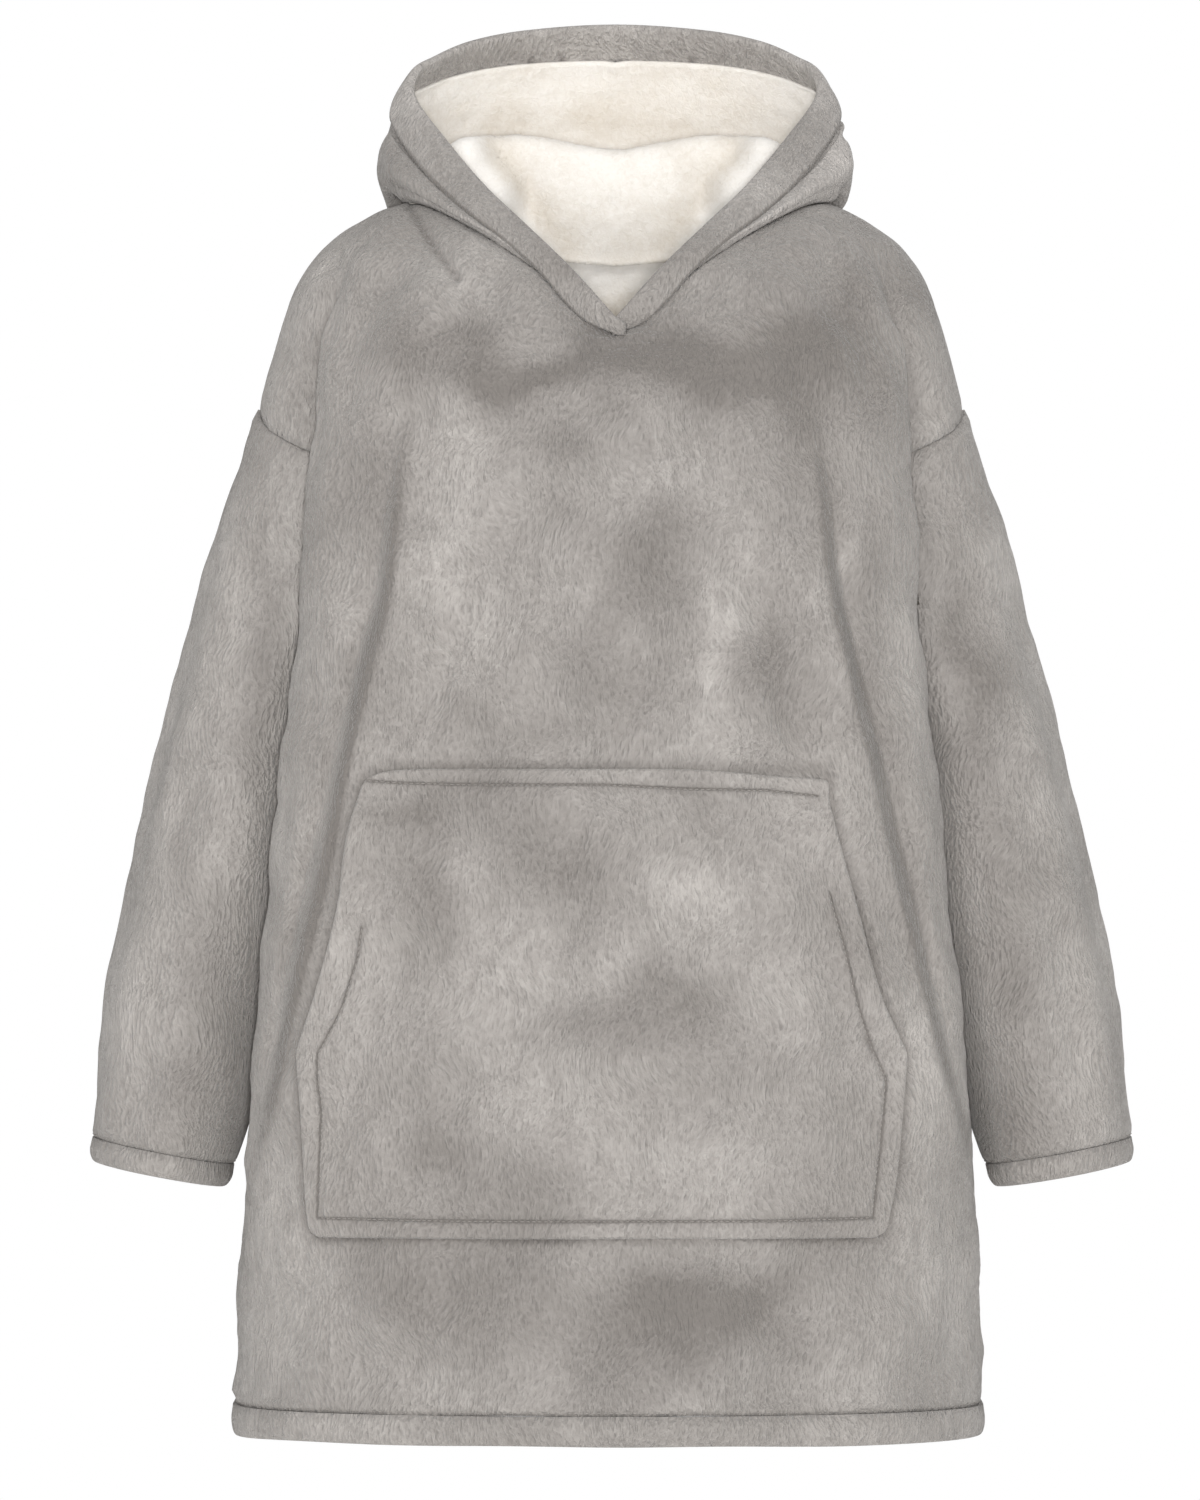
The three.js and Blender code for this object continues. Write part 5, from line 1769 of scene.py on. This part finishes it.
def bandHalf(side):
    turns = np.linspace(0, 180, bandCut["columns"] + 1)
    seam = edgePoint(turns, "seam")
    rim = edgePoint(turns, "rim")
    # direction across the band's flat side, out of the hood
    line = np.gradient((seam + rim) / 2, axis=0)
    across = rim - seam
    flatOut = np.cross(line, across)
    flatOut /= np.linalg.norm(flatOut, axis=1)[:, None]
    for _ in range(8):
        flatOut[1:-1] = (flatOut[:-2] + 2 * flatOut[1:-1] + flatOut[2:]) / 4
    flatOut[-1, 0] = 0
    flatOut /= np.linalg.norm(flatOut, axis=1)[:, None]
    thick = bandCut["thick"] * mix(0.6, 1, ease(turns / 26))
    middle = (seam + rim) / 2 * np.array([side, 1, 1])
    ripple = layeredNoise(middle, *bandCut["waves"])
    pleats = sum(bell(middle[:, 0] + bodyCut["neckShift"] - place, 2.4) for place in bandCut["pleats"])
    rings = []
    for k in range(bandCut["profile"]):
        angle = 2 * math.pi * k / bandCut["profile"]
        # a teardrop: flat at the seam, round at the free edge
        place = 0.5 - 0.5 * math.cos(angle)
        widen = math.copysign(abs(math.sin(angle)) ** 0.62, math.sin(angle)) * mix(0.8, 1, place)
        soft = widen * (thick / 2 + ripple * math.sin(math.pi * min(1.0, place + 0.12)))
        soft = soft - widen * 1.4 * pleats * (turns > 90) * math.exp(-((place / 0.3) ** 2))
        rings.append(mix(seam, rim, place * 1.05 - 0.05) + flatOut * soft[:, None])
    half = np.stack(rings)
    index = 0 if side < 0 else 1
    crossing = ease((bandCut["crossTurns"] - turns) / bandCut["crossTurns"])
    half[..., 1] -= bandCut["proud"][index] * crossing[None, :]
    # past the V's point
    ahead = middle[0] - middle[3]
    ahead = ahead * np.array([side, 1, 1]) / np.linalg.norm(ahead)
    steps = np.arange(5, 0, -1) / 5 * bandCut["overlap"][index]
    past = half[:, :1] + ahead * steps[None, :, None]
    half = np.concatenate([past, half], 1)
    half[..., 2] = np.maximum(half[..., 2], bandCut["foot"])
    return half * np.array([side, 1, 1])


def makeBand():
    grid = np.concatenate([bandHalf(-1), bandHalf(1)[:, :-1][:, ::-1]], 1)
    grid = grid + np.array([bodyCut["neckShift"], 0, 0])
    rows, count = grid.shape[:2]
    j, i = np.meshgrid(np.arange(rows), np.arange(count - 1), indexing="ij")
    following = (j + 1) % rows
    faces = np.stack([j * count + i, j * count + i + 1, following * count + i + 1, following * count + i], -1)
    faces = faces.reshape(-1, 4).tolist()
    faces.append([k * count for k in range(rows)])
    faces.append([k * count + count - 1 for k in reversed(range(rows))])
    piece = makePiece("hood_band_casing", grid.reshape(-1, 3), faces, [fleece])
    places = 0.5 - 0.5 * np.cos(2 * np.pi * np.arange(rows) / rows)
    # painted shade along the band's seam with the hood
    tones = napTone(grid, bandNap, 47) - 1.1 * bell(places, 0.05)[:, None]
    behind = grid[..., 1] > 60
    # painted shade in the little pleats behind
    for place in bandCut["pleats"]:
        tones = tones - 1.4 * behind * bell(grid[..., 0] - place, 2.2) * bell(places, 0.3)[:, None]
    giveNapAndShade(piece, tones)
    return finishPiece(piece, "fleece", "hood_band")


bandPiece = makeBand()
print("band made")


# Room: a pale floor far below the hem and soft studio light
studio = {
    "floorZ": -1.45,
    "floorRadius": 7.0,
    "floorColour": (0.86, 0.86, 0.855),
    "floorGlow": 0.22,
    "backdrop": (1.0, 1.0, 1.0),
    "ambient": 0.36,
}


def makeFloor():
    bpy.ops.mesh.primitive_circle_add(vertices=96, radius=studio["floorRadius"], fill_type="NGON",
                                      location=(0, 0, studio["floorZ"]))
    floor = bpy.context.object
    floor.name = "floor"
    material, _, _, shader = newMaterial("pale_floor")
    shader.inputs["Base Color"].default_value = (*studio["floorColour"], 1)
    shader.inputs["Roughness"].default_value = 0.9
    shader.inputs["Emission Color"].default_value = (1, 1, 1, 1)
    shader.inputs["Emission Strength"].default_value = studio["floorGlow"]
    floor.data.materials.append(material)


def makeWorld():
    world = bpy.data.worlds.new("studio")
    bpy.context.scene.world = world
    world.use_nodes = True
    nodes = world.node_tree.nodes
    links = world.node_tree.links
    nodes.clear()
    output = nodes.new("ShaderNodeOutputWorld")
    seen = nodes.new("ShaderNodeBackground")
    seen.inputs["Color"].default_value = (*studio["backdrop"], 1)
    seen.inputs["Strength"].default_value = 1.0
    lit = nodes.new("ShaderNodeBackground")
    lit.inputs["Color"].default_value = (1, 1, 1, 1)
    lit.inputs["Strength"].default_value = studio["ambient"]
    path = nodes.new("ShaderNodeLightPath")
    blend = nodes.new("ShaderNodeMixShader")
    links.new(path.outputs["Is Camera Ray"], blend.inputs["Fac"])
    links.new(lit.outputs[0], blend.inputs[1])
    links.new(seen.outputs[0], blend.inputs[2])
    links.new(blend.outputs[0], output.inputs["Surface"])


lamps = tableOf(
    "name place size power",
    ('front_soft', (0.1, -6.6, -0.3), 0.8, 258),
    ('key_left', (-1.8, -4.6, 2.2), 1.4, 60),
    ('fill_right', (2.4, -3.6, 1.2), 2.2, 26),
    ('top_soft', (0.0, -0.6, 3.0), 2.4, 20),
    ('back_soft', (1.2, 3.8, 1.6), 2.6, 85),
)


def makeLamps():
    for lamp in lamps:
        data = bpy.data.lights.new(lamp["name"], "AREA")
        data.shape = "DISK"
        data.size = lamp["size"]
        data.energy = lamp["power"]
        lampObject = bpy.data.objects.new(lamp["name"], data)
        lampObject.location = lamp["place"]
        aim = Vector((0, 0, -0.4)) - Vector(lamp["place"])
        lampObject.rotation_euler = aim.to_track_quat("-Z", "Y").to_euler()
        bpy.context.scene.collection.objects.link(lampObject)


makeFloor()
makeWorld()
makeLamps()
bpy.context.scene.view_settings.view_transform = "Standard"
print("room made")
